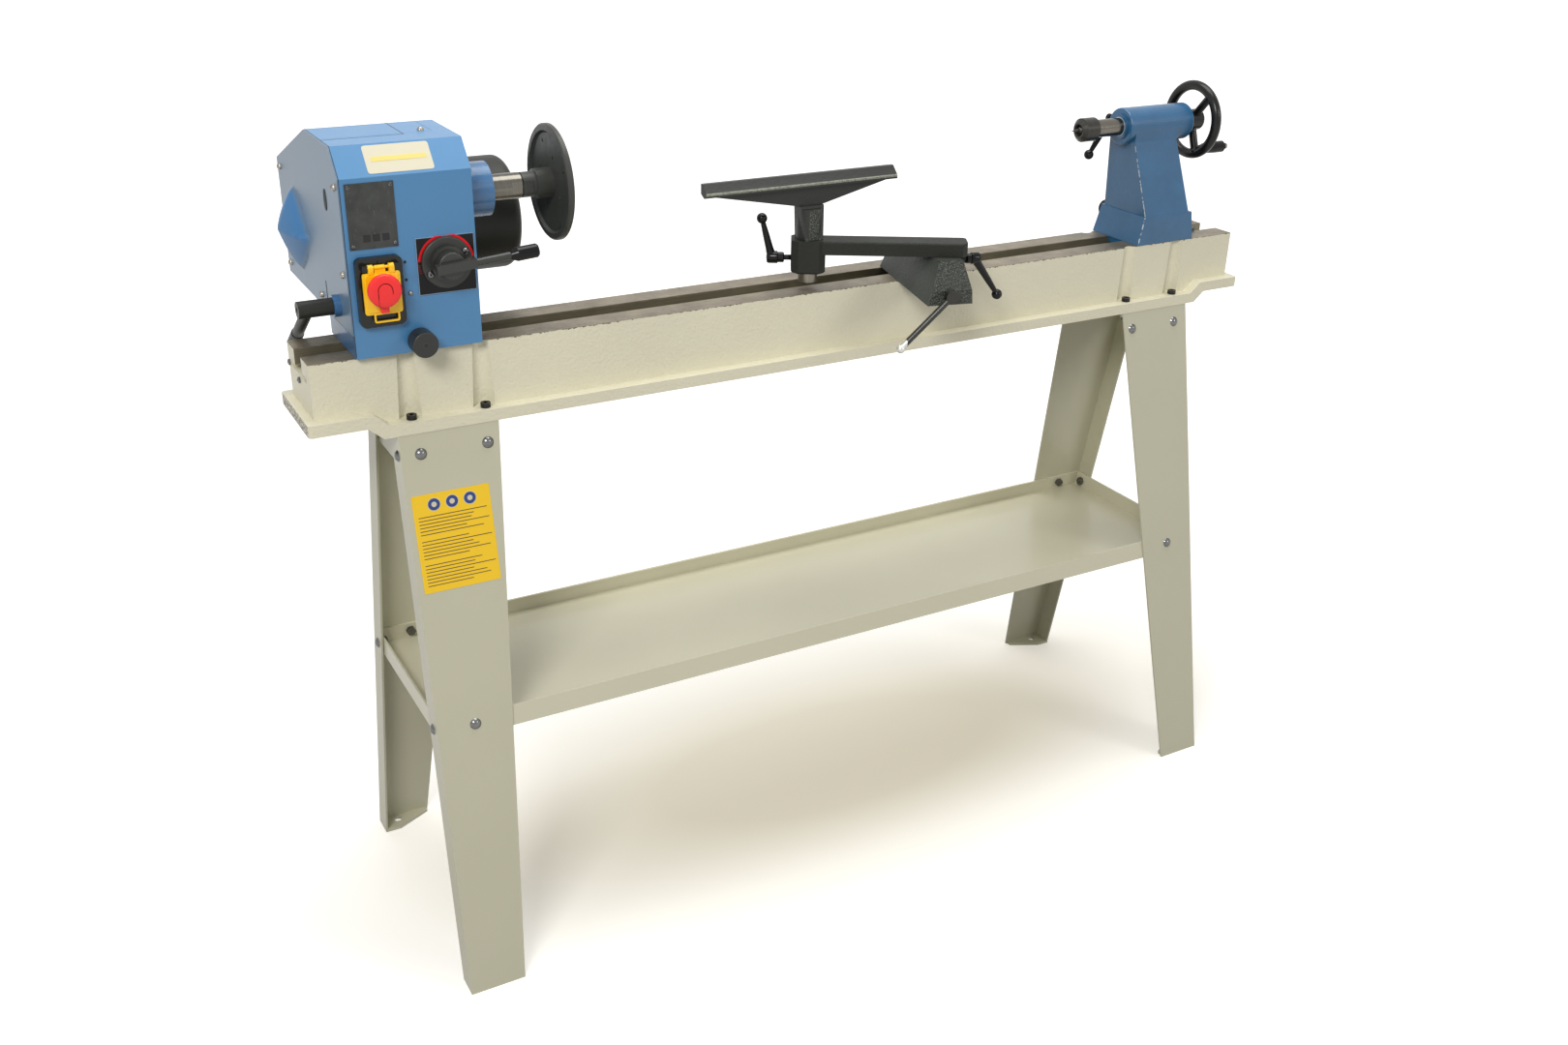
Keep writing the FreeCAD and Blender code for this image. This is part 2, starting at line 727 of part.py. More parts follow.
def make_end_plate():
    """Left end cover with its pressed bulge: four sides that rise from the plate to a short ridge."""
    x = head_left
    outline = head_outline(x, 0)
    outline = outline[1:6] + [point(x, head_base_rear + 14, head_rear_bottom),
                              point(x, head_base_rear + 1, head_rear_bottom),
                              point(x, -head_front, head_rear_bottom - 2)]
    plate = prism(outline, X * end_plate_thickness)
    rise = bed_top + bulge_rise
    corners = ((bulge_back + 4, rise + bulge_up), (bulge_back + bulge_behind, rise),
               (bulge_back - 6.5, rise - bulge_down), (bulge_back - bulge_ahead, rise + bulge_up * 0.66))

    def ring(depth, shrink):
        points = [point(x - depth, bulge_back + (y - bulge_back) * shrink, rise + (z - rise) * shrink)
                  for y, z in corners]
        return Part.makePolygon(points + points[:1])

    outside = Part.makeLoft([ring(0, 1.0), ring(bulge_depth, 0.1)], True)
    inside = Part.makeLoft([ring(-3, 1.0), ring(bulge_depth - 3, 0.03)], True)
    plate = join([plate, outside]).cut(inside)
    slot_low = bed_top + cover_slot_rise
    slot_high = slot_low + cover_slot_length
    slot = join([rod(point(x - 2, cover_slot_back, slot_low), X, 8, 3.5),
                 rod(point(x - 2, cover_slot_back, slot_high), X, 8, 3.5),
                 box(x - 2, x + 6, cover_slot_back - 3.5, cover_slot_back + 3.5, slot_low, slot_high)])
    slit = box(x - 2, x + 6, 50, 53, head_rear_bottom + 4, head_rear_bottom + 44)
    lever_room = rod(point(x - 5, lever_tube_offset, lever_tube_height), X, 10,
                     lever_tube_radius + 5 + body_gap)
    return plate.cut(slot).cut(slit).cut(lever_room)


def make_access_lid():
    x0 = head_left + end_plate_thickness
    x1 = head_right - head_skin - 20.5
    lid = box(x0, x1, lid_front + 0.5, head_roof_rear - 4.5, head_roof - lid_thickness, head_roof)
    tongues = box(x1 - 20, x1 - 4, lid_front - 6, head_roof_rear, head_roof - head_skin - 2,
                  head_roof - head_skin)
    bridge = box(x1 - 18, x1 - 6, lid_front + 2, head_roof_rear - 6, head_roof - head_skin,
                 head_roof - lid_thickness)
    return join([lid, tongues, bridge])


def make_cover_screws():
    screws = []
    x = head_left
    inset = cover_screw_inset
    for y, z in ((inset - head_front, head_shoulder - 12),
                 (inset - head_front, head_shoulder - cover_screw_drop),
                 (head_base_rear + 7, head_rear_bottom + inset), (head_rear - inset, head_rear_top - 10),
                 (head_rear - inset, head_rear_bottom + inset)):
        screws.append(pan_screw(point(x, y, z), X * -1, 4.5))
    panel_screw = point(head_left + panel_screw_inset, -head_front, bed_top + panel_screw_rise)
    screws.append(pan_screw(panel_screw, Y * -1, 3.0))
    lid_x = head_right - head_skin - 32
    screws.append(pan_screw(point(lid_x, lid_front + 10, head_roof), Z, 4.5))
    return Part.makeCompound(screws)


def make_motor():
    start = head_right
    body = rod(motor_point(start), X, motor_length, motor_radius)
    far = [e for e in body.Edges if e.CenterOfMass.x > start + motor_length - 1 and e.isClosed()]
    body = body.makeFillet(motor_round, far)
    shaft_room = rod(motor_point(start - 1), X, motor_length - 20, motor_shaft_radius + 2)
    fan_vents = []
    for i in range(6):
        turn = math.radians(60 * i)
        offset = point(0, 46 * math.cos(turn), 46 * math.sin(turn))
        fan_vents.append(rod(motor_point(start + motor_length - 6) + offset, X, 10, 5))
    return body.cut(shaft_room).cut(Part.makeCompound(fan_vents))


def pulley(centre, radius, bore):
    half = pulley_width / 2
    bed_of_groove = radius - pulley_groove
    profile = [(-half, bore), (-half, radius), (-half + pulley_rim, radius),
               (-half + pulley_rim, bed_of_groove), (half - pulley_rim, bed_of_groove),
               (half - pulley_rim, radius), (half, radius), (half, bore)]
    return revolve(profile, centre, X, Z)


def belt_loop(grow):
    """Solid outline round both pulleys, grown by the given amount."""
    half = belt_width / 2
    x = head_left + pulley_inset + pulley_width / 2
    a = spindle_point(x - half)
    b = motor_point(x - half)
    ra = spindle_pulley_radius - pulley_groove + body_gap + grow
    rb = motor_pulley_radius - pulley_groove + body_gap + grow
    span = b - a
    swing = math.acos((ra - rb) / span.Length)
    heading = math.atan2(span.z, span.y)
    corners = []
    for centre, radius, sign in ((a, ra, 1), (b, rb, 1), (b, rb, -1), (a, ra, -1)):
        turn = heading + sign * swing
        corners.append(centre + point(0, radius * math.cos(turn), radius * math.sin(turn)))
    return join([rod(a, X, belt_width, ra), rod(b, X, belt_width, rb), prism(corners, X * belt_width)])


def make_drive_belt():
    return belt_loop(belt_thickness).cut(belt_loop(0.0))


def make_spindle_bearings():
    rings = []
    for x in (head_centre - 20, head_right + head_boss_reach - bearing_width - 3):
        rings.append(tube(spindle_point(x), X, bearing_width, bearing_radius,
                          spindle_radius + running_clearance))
    return Part.makeCompound(rings)


def make_spindle():
    start = head_left + 14
    main = rod(spindle_point(start), X, nose_end - start, spindle_radius)
    flat_start = nose_end - nose_flats_length
    across = spindle_radius - 1.8
    for side in (-1, 1):
        y0, y1 = sorted((side * across, side * 40))
        main = main.cut(box(flat_start, nose_end + 1, y0, y1, axis_height - 40, axis_height + 40))
    thread = rod(spindle_point(nose_end), X, 26, spindle_nose_radius)
    collar = rod(spindle_point(head_right + head_boss_reach + 0.5), X, 4, spindle_radius + 3)
    return join([main, thread, collar]).cut(rod(spindle_point(start - 1), X, 600, spindle_bore_radius))


def make_spindle_pulley():
    centre = spindle_point(head_left + pulley_inset + pulley_width / 2)
    return pulley(centre, spindle_pulley_radius, spindle_radius)


def make_motor_shaft():
    start = head_left + 14
    end = head_right + 90
    return rod(motor_point(start), X, end - start, motor_shaft_radius)


def make_motor_pulley():
    centre = motor_point(head_left + pulley_inset + pulley_width / 2)
    return pulley(centre, motor_pulley_radius, motor_shaft_radius)


def make_faceplate():
    start = nose_end + faceplate_gap
    hub_end = start + faceplate_hub_length
    rear = faceplate_thickness + hub_end
    profile = [
        (start, spindle_nose_radius + running_clearance),
        (start, faceplate_collar_radius),
        (start + faceplate_collar_length, faceplate_collar_radius),
        (start + faceplate_collar_length + 2, faceplate_hub_radius),
        (hub_end + faceplate_dish, faceplate_hub_radius),
        (hub_end + faceplate_dish, faceplate_radius - faceplate_rim - 3),
        (hub_end, faceplate_radius - faceplate_rim),
        (hub_end, faceplate_radius - 2),
        (hub_end + 2, faceplate_radius),
        (rear - 1, faceplate_radius),
        (rear, faceplate_radius - 1),
        (rear, spindle_nose_radius + running_clearance),
    ]
    plate = revolve(profile, spindle_point(0), X, Z)
    for i in range(8):
        turn = math.radians(45 * i + 22.5)
        radius = faceplate_pitch_radius if i % 2 else faceplate_pitch_radius * 0.64
        centre = spindle_point(start) + point(0, radius * math.cos(turn), radius * math.sin(turn))
        plate = plate.cut(rod(centre, X, 80, faceplate_hole_radius))
    for side in (-1, 1):
        y0, y1 = sorted((side * (faceplate_collar_radius - 2), side * 40))
        plate = plate.cut(box(start - 1, start + faceplate_collar_length - 3, y0, y1,
                              axis_height - 40, axis_height + 40))
    return plate


# ---- headstock controls ----------------------------------------------------
def dial_point(depth):
    return point(head_left + dial_inset, -head_front - depth, dial_height)


def make_speed_plate():
    middle = dial_point(0)
    half = dial_plate_width / 2
    z0 = dial_height - dial_plate_height / 2 - dial_plate_drop
    plate = box(middle.x - half, middle.x + half, middle.y - plate_thickness, middle.y,
                z0, z0 + dial_plate_height)
    return plate.cut(rod(middle + Y, Y * -1, 10, 6.5))


def make_speed_dial():
    base = dial_point(plate_thickness)
    disc = rod(base, Y * -1, dial_thickness, dial_radius)
    rim = [e for e in disc.Edges if abs(e.CenterOfMass.y - (base.y - dial_thickness)) < 0.1]
    disc = disc.makeFillet(2, rim).cut(rod(base + Y, Y * -1, 20, 6 + running_clearance))
    screws = []
    for turn in (28.0, 208.0):
        offset = point(math.cos(math.radians(turn)), 0, math.sin(math.radians(turn))) * dial_screw_reach
        screws.append(pan_screw(base + offset - Y * dial_thickness, Y * -1, 3.6))
    return join([disc] + screws)


def lever_directions():
    turn = math.radians(speed_lever_angle)
    return point(math.cos(turn), 0, math.sin(turn)), point(-math.sin(turn), 0, math.cos(turn))


def make_speed_lever():
    """Stepped hub with a bar across its face that runs on as the lever."""
    base = dial_point(plate_thickness + dial_thickness + body_gap)
    step = rod(base, Y * -1, dial_step_depth, dial_step_radius)
    hub = rod(base, Y * -1, dial_hub_depth, dial_hub_radius)
    rim = [e for e in hub.Edges if abs(e.CenterOfMass.y - (base.y - dial_hub_depth)) < 0.1]
    hub = hub.makeFillet(2, rim)
    stem = rod(base + Y * 20, Y * -1, 21, 6)
    along, up = lever_directions()
    half = up * (speed_bar_height / 2)
    left = base - Y * (dial_hub_depth - 3) - along * speed_bar_left
    right = left + along * (speed_bar_left + speed_bar_right)
    bar = prism([left - half, right - half, right + half, left + half], Y * -(speed_bar_depth + 3))
    neck = rod(lever_start() - along * 3, along, speed_lever_length + 3, speed_bar_depth * 0.7)
    return join([step, hub, stem, bar, neck])


def lever_start():
    """Where the round lever leaves the end of the bar."""
    base = dial_point(plate_thickness + dial_thickness + body_gap)
    depth = dial_hub_depth + speed_bar_depth * 0.3
    return base - Y * depth + lever_directions()[0] * speed_bar_right


def make_speed_grip():
    along = lever_directions()[0]
    start = lever_start() + along * speed_lever_length
    profile = [(0, 0), (0, 5.5), (9, 9), (speed_grip_length - 2, 9), (speed_grip_length, 7.5),
               (speed_grip_length, 0)]
    return revolve(profile, start, along, Y)


def switch_box_limits():
    x0 = head_left + switch_inset
    return x0, x0 + switch_width, switch_bottom, switch_bottom + switch_height


def make_switch_box():
    x0, x1, z0, z1 = switch_box_limits()
    front = -head_front - switch_depth
    body = box(x0, x1, front, -head_front, z0, z1)
    upright = [e for e in body.Edges if abs(e.tangentAt(0).y) > 0.99]
    body = body.makeFillet(8, upright)
    middle = (x0 + x1) / 2
    for side in (-1, 1):
        body = body.cut(rod(point(middle + side * button_spread, front - 1, mushroom_height), Y,
                            switch_depth - 1, button_radius + body_gap))
    lugs = []
    for side in (-1, 1):
        x = middle + side * (switch_width / 2 - flap_margin - 4)
        lugs.append(box(x - 3, x + 3, front - flap_thickness, front, z1 - 15, z1 - 7))
    body = join([body] + lugs)
    return body.cut(rod(point(x0, front - 4.5, z1 - 11), X, switch_width, 2 + running_clearance))


def make_stop_flap():
    x0, x1, z0, z1 = switch_box_limits()
    front = -head_front - switch_depth - body_gap
    middle = (x0 + x1) / 2
    width = switch_width - 2 * flap_margin
    body = box(x0 + flap_margin, x1 - flap_margin, front - flap_thickness, front - 2, z0 + 18, z1 - 17)
    upright = [e for e in body.Edges if abs(e.tangentAt(0).y) > 0.99]
    body = body.makeFillet(4, upright)
    neck = box(middle - width * 0.22, middle + width * 0.22, front - flap_thickness, front - 2,
               z1 - 19, z1 - 8.5)
    pin = rod(point(x0 + 5.5, front - 4.5 + body_gap, z1 - 11), X, switch_width - 11, 2)
    loop = box(middle - 13, middle + 19, front - 7, front - 2, z0 + 7, z0 + 19)
    loop = loop.cut(box(middle - 10, middle + 16, front - 12, front + 2, z0 + 10, z0 + 15))
    room_half = button_spread + button_radius + 1.5
    room = box(middle - room_half, middle + room_half, front - 5, front,
               mushroom_height - button_radius - 1.5, mushroom_height + button_radius + 1.5)
    return join([body, neck, pin, loop]).cut(room)


def make_stop_mushroom():
    x0, x1, z0, z1 = switch_box_limits()
    base = -head_front - switch_depth - body_gap - flap_thickness
    profile = [(0, 0), (0, 14), (6, 15), (9, mushroom_radius), (mushroom_stand - 3, mushroom_radius),
               (mushroom_stand, mushroom_radius - 4), (mushroom_stand, 0)]
    return revolve(profile, point((x0 + x1) / 2 + mushroom_shift, base, mushroom_height), Y * -1, Z)


def make_button(side):
    x0, x1, z0, z1 = switch_box_limits()
    front = -head_front - switch_depth
    start = point((x0 + x1) / 2 + side * button_spread, front + button_root, mushroom_height)
    button = rod(start, Y * -1, button_root + button_stand, button_radius)
    rim = [e for e in button.Edges if abs(e.CenterOfMass.y - (front - button_stand)) < 0.1]
    return button.makeFillet(1, rim)


def make_name_plate():
    x0 = head_left + name_plate_inset
    x1 = x0 + name_plate_width
    z0 = name_plate_bottom
    z1 = z0 + name_plate_height
    plate = box(x0, x1, -head_front - plate_thickness, -head_front, z0, z1)
    rivets = []
    for x in (x0 + 3.5, x1 - 3.5):
        for z in (z0 + 3.5, z1 - 3.5):
            rivets.append(pan_screw(point(x, -head_front - plate_thickness, z), Y * -1, 2.2))
    return join([plate] + rivets)


def index_point(depth):
    return point(head_centre, -head_front - depth, bed_top + knob_rise)


def make_index_bush():
    start = index_point(-17)
    return tube(start, Y * -1, 17 + knob_stand - body_gap, bush_radius,
                index_pin_radius + running_clearance)


def make_index_pin():
    return rod(index_point(-38), Y * -1, 38 + knob_stand + 10, index_pin_radius)


def make_index_knob():
    start = index_point(knob_stand)
    knob = rod(start, Y * -1, knob_length, knob_radius)
    rim = [e for e in knob.Edges if abs(e.CenterOfMass.y - (start.y - knob_length)) < 0.1]
    knob = knob.makeFillet(2, rim)
    socket = rod(start - Y * (knob_length - 4), Y * -1, 10, 3)
    return knob.cut(rod(start, Y * -1, 10, index_pin_radius)).cut(socket)


def make_swivel_shaft():
    z = lever_tube_height
    start = head_left - 9 - lever_tube_length
    shaft = rod(point(start, lever_tube_offset, z), X, head_centre - 50 - start, lever_tube_radius)
    sleeve = rod(point(start, lever_tube_offset, z), X, lever_tube_length - body_gap, lever_tube_radius + 2)
    screw = hexagon(point(start - 1, lever_tube_offset, z), X, 7, 6)
    return join([shaft, sleeve]).cut(screw)


def make_swivel_lever():
    z = lever_tube_height
    x = head_left - 9 - lever_tube_length + 14
    turn = math.radians(swivel_lever_angle)
    along = point(0, math.cos(turn), math.sin(turn))
    start = point(x, lever_tube_offset, z) + along * (lever_tube_radius + 1.5)
    arm = rod(start, along, swivel_lever_length - 40, 7.5)
    end = rod(start + along * (swivel_lever_length - 40), along, 40, 8.5)
    sleeve_room = rod(point(x - 20, lever_tube_offset, z), X, 40, lever_tube_radius + 2)
    return join([arm, end]).cut(sleeve_room)


# ---- tailstock -------------------------------------------------------------
barrel_start = tail_left - barrel_lead


def make_tailstock_body():
    x0 = tail_left
    x1 = tail_right
    z0 = bed_top + body_gap
    z1 = z0 + tail_foot_height
    draft = tail_foot_draft
    rear = tail_foot_rear

    def frame_wire(xa, xb, ya, yb, z):
        corners = [point(xa, ya, z), point(xb, ya, z), point(xb, yb, z), point(xa, yb, z)]
        return Part.makePolygon(corners + corners[:1])

    foot = Part.makeLoft([frame_wire(x0, x1, -tail_foot_front, rear, z0),
                          frame_wire(x0 + draft, x1 - draft, -tail_foot_front, rear - 6, z1)], True)
    xa = x0 + draft
    xb = x1 - draft - 6
    half = tail_foot_front - 1
    narrow = half - tail_column_draft
    cap_left = xa - tail_lean_left
    cap_right = xb - tail_lean_right
    column = Part.makeLoft([frame_wire(xa + 1, xb, -half, rear - 12, z1 - 1),
                            frame_wire(cap_left, cap_right, -narrow, narrow + 5, axis_height - 22)], True)
    cap = box(cap_left, cap_right, -narrow, narrow, axis_height - 23, axis_height)
    barrel = rod(spindle_point(barrel_start), X, barrel_length, barrel_radius)
    ends = [e for e in barrel.Edges if e.isClosed()]
    barrel = barrel.makeFillet(3, ends)
    ring = rod(spindle_point(barrel_start - barrel_ring_length), X, barrel_ring_length + 1,
               barrel_ring_radius)
    tongue = box(x0 + 1, x1 - 2, -slot_half + slot_clearance, slot_half - slot_clearance,
                 bed_top - tail_tongue_depth, z0 + 1)
    body = join([foot, column, cap, barrel, ring, tongue])
    bore = rod(spindle_point(barrel_start - 10), X, barrel_length + 2, quill_radius + running_clearance)
    screw_bore = rod(spindle_point(barrel_start), X, barrel_length + 20, screw_radius + running_clearance)
    lock_hole = rod(point(barrel_start + 12, 0, axis_height + 6), Y, 60, 4 + running_clearance)
    middle = (x0 + x1) / 2
    bolt_hole = rod(point(middle, 0, 0), Z, z1 - 8, 7)
    cam_hole = rod(point(middle - tail_lever_shift, -20, bed_top + tail_lever_rise), Y, 200,
                   8 + running_clearance)
    return body.cut(bore).cut(screw_bore).cut(lock_hole).cut(bolt_hole).cut(cam_hole)


def make_tailstock_clamp():
    """Plate under the ways, with the bolt that the rear lever draws up."""
    middle = (tail_left + tail_right) / 2
    half = bed_width / 2 - web_thickness - 3
    top = way_underside - body_gap
    plate = box(middle - 45, middle + 45, -half, half, top - 12, top)
    shank = rod(point(middle, 0, way_underside - 26), Z, 26 + way_depth + 12, 6.5)
    return join([plate, shank, hexagon(point(middle, 0, way_underside - 24), Z, 19, 12)])


def make_quill():
    start = barrel_start - barrel_ring_length - quill_out
    quill = rod(spindle_point(start), X, quill_length, quill_radius)
    shank_depth = centre_shank_length + 2
    socket = rod(spindle_point(start - 1), X, shank_depth + 1, centre_shank_radius + running_clearance)
    screw_bore = rod(spindle_point(start + shank_depth + 3), X, quill_length,
                     screw_radius + running_clearance)
    return quill.cut(socket).cut(screw_bore)


def make_live_centre():
    """Cup centre that turns in the quill, with a small point inside its rim."""
    back = barrel_start - barrel_ring_length - quill_out - body_gap
    front = back - centre_length
    profile = [(back, 0), (back, centre_radius - 1), (back - 1, centre_radius),
               (front + 5, centre_radius), (front, centre_radius - 6), (front, centre_radius - 9),
               (front + 5, centre_radius - 11), (front, 3.5), (front - centre_tip_length, 0)]
    head = revolve(profile, spindle_point(0), X, Z)
    return join([head, rod(spindle_point(back - 1), X, centre_shank_length, centre_shank_radius)])


wheel_start = barrel_start + barrel_length + 1


def make_handwheel():
    plane = wheel_start + wheel_hub_length * 0.62
    rim = Part.makeTorus(wheel_radius - wheel_rim_radius, wheel_rim_radius, spindle_point(plane), X)
    hub = rod(spindle_point(wheel_start), X, wheel_hub_length, wheel_hub_radius)
    hub = hub.makeFillet(3, [e for e in hub.Edges if e.isClosed()])
    spokes = []
    for i in range(3):
        turn = math.radians(wheel_handle_angle + 120 * i)
        out = point(0, math.cos(turn), math.sin(turn))
        spokes.append(rod(spindle_point(plane - 2) + out * 10, out,
                          wheel_radius - 2 * wheel_rim_radius - 4, wheel_spoke_radius))
    wheel = join([hub, rim] + spokes)
    wheel = wheel.cut(rod(spindle_point(wheel_start - 1), X, wheel_hub_length + 2, screw_radius))
    return wheel.cut(rod(handle_point(plane - 20), X, 40, 3.5))


def handle_point(x):
    turn = math.radians(wheel_handle_angle)
    radius = wheel_radius - wheel_handle_inset
    return point(x, radius * math.cos(turn), axis_height + radius * math.sin(turn))


def make_feed_screw():
    start = barrel_start + screw_start
    end = wheel_start + wheel_hub_length
    screw = rod(spindle_point(start), X, end - start, screw_radius)
    cap = rod(spindle_point(end), X, 5, 9)
    return join([screw, cap])


def make_handle_pin():
    plane = wheel_start + wheel_hub_length * 0.62
    pin = rod(handle_point(plane - 6), X, wheel_rim_radius + 10 + wheel_handle_length, 3.5)
    head = rod(handle_point(plane + 6 + wheel_rim_radius + wheel_handle_length - 2), X, 3, 5)
    return join([pin, head])


def make_wheel_handle():
    plane = wheel_start + wheel_hub_length * 0.62 + wheel_rim_radius + 1
    length = wheel_handle_length - 0.5
    profile = [(0, 3.5 + running_clearance), (0, 6), (8, wheel_handle_radius - 1),
               (length * 0.6, wheel_handle_radius), (length - 3, wheel_handle_radius),
               (length, wheel_handle_radius - 3),
               (length, 5.5), (length - 4, 5.5), (length - 4, 3.5 + running_clearance)]
    return revolve(profile, handle_point(plane), X, Z)


def make_quill_lock():
    seat = point(barrel_start + 12, barrel_radius - 1 + body_gap, axis_height + 6)
    hub_seat = seat + Y * 2
    lever = ball_lever(hub_seat, Y, 7, 14, 9, hub_seat + point(-38, 8, -56))
    return join([lever, rod(seat - Y * 13, Y, 16, 4)])


def make_tail_clamp_lever():
    middle = (tail_left + tail_right) / 2 - tail_lever_shift
    z = bed_top + tail_lever_rise
    shaft = rod(point(middle, -10, z), Y, tail_foot_rear + 10 + 2, 8)
    hub = rod(point(middle, tail_foot_rear + 1, z), Y, 18, 13)
    end = point(middle + tail_lever_length, tail_foot_rear + 16, z + 4)
    arm = balled_bar(point(middle, tail_foot_rear + 10, z), end, 6, 9)
    return join([shaft, hub, arm])


# ---- tool rest -------------------------------------------------------------
rest_origin = point(left_end + banjo_inset, -banjo_front, 0)


def rest_point(across, along, z):
    """A place on the tool rest's base: across its width, along its length from its front, and height."""
    return rest_origin + rest_x_axis * across + rest_y_axis * along + Z * z


pivot = rest_point(arm_pivot_across, arm_pivot_along, 0)
arm_along = point(math.cos(math.radians(arm_angle)), math.sin(math.radians(arm_angle)), 0)
arm_across = point(-arm_along.y, arm_along.x, 0)
holder = pivot + arm_along * arm_reach
arm_underside = arm_top - arm_thickness
pedestal_top = arm_underside - body_gap
banjo_floor = bed_top + body_gap
bolt_along = banjo_front / math.cos(math.radians(banjo_angle))


def make_banjo_base():
    """Wedge-shaped casting with a pedestal at its front and a channel along its underside."""
    half = banjo_width / 2
    top_right = banjo_pedestal_left + banjo_pedestal_width
    toe = banjo_floor + banjo_toe
    start = banjo_pedestal_start
    end = banjo_length

    def outline(z, places):
        points = [rest_point(a, s, z) for a, s in places]
        return Part.makePolygon(points + points[:1])

    low = outline(banjo_floor, ((-half, 0), (half, 0), (half, end), (-half, end)))
    mid = outline(toe, ((-half + 8, 2), (half - 1, 2), (half - 1, end - 1), (-half + 8, end - 1)))
    top = outline(pedestal_top, ((banjo_pedestal_left, start), (top_right, start), (top_right, end - 4),
                                 (banjo_pedestal_left - 12, end - 4)))
    body = join([Part.makeLoft([low, mid], True, True), Part.makeLoft([mid, top], True, True)])
    crest = [rest_point(-half - 5, banjo_crest, pedestal_top),
             rest_point(-half - 5, end + 2, pedestal_top - banjo_rear_drop),
             rest_point(-half - 5, end + 2, pedestal_top + 5),
             rest_point(-half - 5, banjo_crest, pedestal_top + 5)]
    body = body.cut(prism(crest, rest_x_axis * (banjo_width + 10)))
    channel_half = banjo_channel_width / 2
    corners = [rest_point(a, s, 0) for a, s in
               ((-channel_half, banjo_channel_start), (channel_half, banjo_channel_start),
                (channel_half, banjo_length), (-channel_half, banjo_length))]
    channel = prism(corners, Z * (banjo_floor + banjo_channel_height))
    rear_wall = banjo_length - banjo_channel_end_wall
    corners = [rest_point(a, s, banjo_floor) for a, s in
               ((-channel_half - 2, rear_wall), (channel_half + 2, rear_wall),
                (channel_half + 2, banjo_length - 2), (-channel_half - 2, banjo_length - 2))]
    tail_wall = prism(corners, Z * (banjo_channel_height - 2))
    body = join([body.cut(channel), tail_wall])
    cam_start = rest_point(0, -20, bed_top + cam_rise)
    body = body.cut(rod(cam_start, rest_y_axis, banjo_length + 40, cam_radius + running_clearance))
    body = body.cut(rod(pivot + Z * (banjo_floor + banjo_channel_height + 3), Z, 80,
                        arm_pin_radius + running_clearance))
    lock = rest_point(arm_pivot_across, arm_pivot_along, arm_underside - arm_lock_drop)
    return body.cut(rod(lock, rest_x_axis, 60, 4 + running_clearance))


def make_banjo_clamp():
    """Round plate that grips the ways from below, so that the base can be turned on the bed."""
    middle = rest_point(0, bolt_along, 0)
    plate = rod(point(middle.x, 0, way_underside - body_gap - clamp_plate_thickness), Z,
                clamp_plate_thickness, bed_width / 2 - web_thickness - 3)
    return plate.cut(rod(point(middle.x, 0, 0), Z, bed_top, clamp_bolt_radius + running_clearance))


def make_eye_bolt():
    """Bolt through the clamp plate, with the eye that the cam shaft draws up."""
    middle = rest_point(0, bolt_along, 0)
    low = way_underside - body_gap - clamp_plate_thickness
    shank = rod(point(middle.x, 0, low - 10), Z, bed_top + cam_rise - low, clamp_bolt_radius)
    eye_centre = rest_point(0, bolt_along - 7, bed_top + cam_rise)
    eye = rod(eye_centre, rest_y_axis, 14, cam_eye_radius)
    bolt = join([shank, eye, hexagon(point(middle.x, 0, low - 10), Z, 19, 10)])
    return bolt.cut(rod(eye_centre - rest_y_axis * 20, rest_y_axis, 60, cam_radius + running_clearance))


def make_cam_lever():
    """Cam shaft along the base, with the bar that turns it."""
    start = rest_point(0, -10, bed_top + cam_rise)
    shaft = rod(start, rest_y_axis, banjo_length + 4, cam_radius)
    collar = rod(start, rest_y_axis, 9, cam_radius + 1)
    turn = math.radians(cam_bar_angle)
    along = rest_x_axis * -math.cos(turn) - Z * math.sin(turn)
    bar_start = start + rest_y_axis * 4
    bar_end = bar_start + along * cam_bar_length
    bar = balled_bar(bar_start, bar_end, cam_bar_radius, cam_bar_radius + 2)
    return join([shaft, collar, bar])


def block_corners(centre, half, chamfer):
    """Corners of a square block with its four upright edges cut off, square to the arm."""
    flat = half - chamfer
    places = ((half, -flat), (half, flat), (flat, half), (-flat, half),
              (-half, flat), (-half, -flat), (-flat, -half), (flat, -half))
    return [centre + arm_along * a + arm_across * b for a, b in places]


def make_rest_arm():
    """Flat arm with its pivot pin, and the block that holds the post."""
    half = arm_width / 2
    start = pivot - arm_along * arm_tail + Z * arm_underside
    far = arm_along * (arm_tail + arm_reach)
    cut = arm_along * 7
    corners = [start + arm_across * half + cut, start + arm_across * half + far,
               start - arm_across * half + far, start - arm_across * half + cut,
               start - arm_across * (half - 7), start + arm_across * (half - 7)]
    beam = prism(corners, Z * arm_thickness)
    edges = [e for e in beam.Edges if abs(e.tangentAt(0).z) < 0.1 and e.CenterOfMass.z > arm_top - 1
             and e.Length > arm_width + 5]
    beam = beam.makeFillet(3, edges)
    foot = point(holder.x, holder.y, holder_bottom)
    block = prism(block_corners(foot, holder_half, holder_chamfer), Z * holder_drop)
    lower = [e for e in block.Edges if e.CenterOfMass.z < holder_bottom + 0.1]
    block = block.makeChamfer(2.5, lower)
    pin = rod(point(pivot.x, pivot.y, banjo_floor + banjo_channel_height + 4), Z,
              arm_underside - banjo_floor - banjo_channel_height, arm_pin_radius)
    arm = join([beam, block, pin])
    arm = arm.cut(rod(point(holder.x, holder.y, 0), Z, 2000, post_radius + running_clearance))
    return arm.cut(rod(foot + Z * rest_lock_rise, arm_along, 40, 4 + running_clearance))


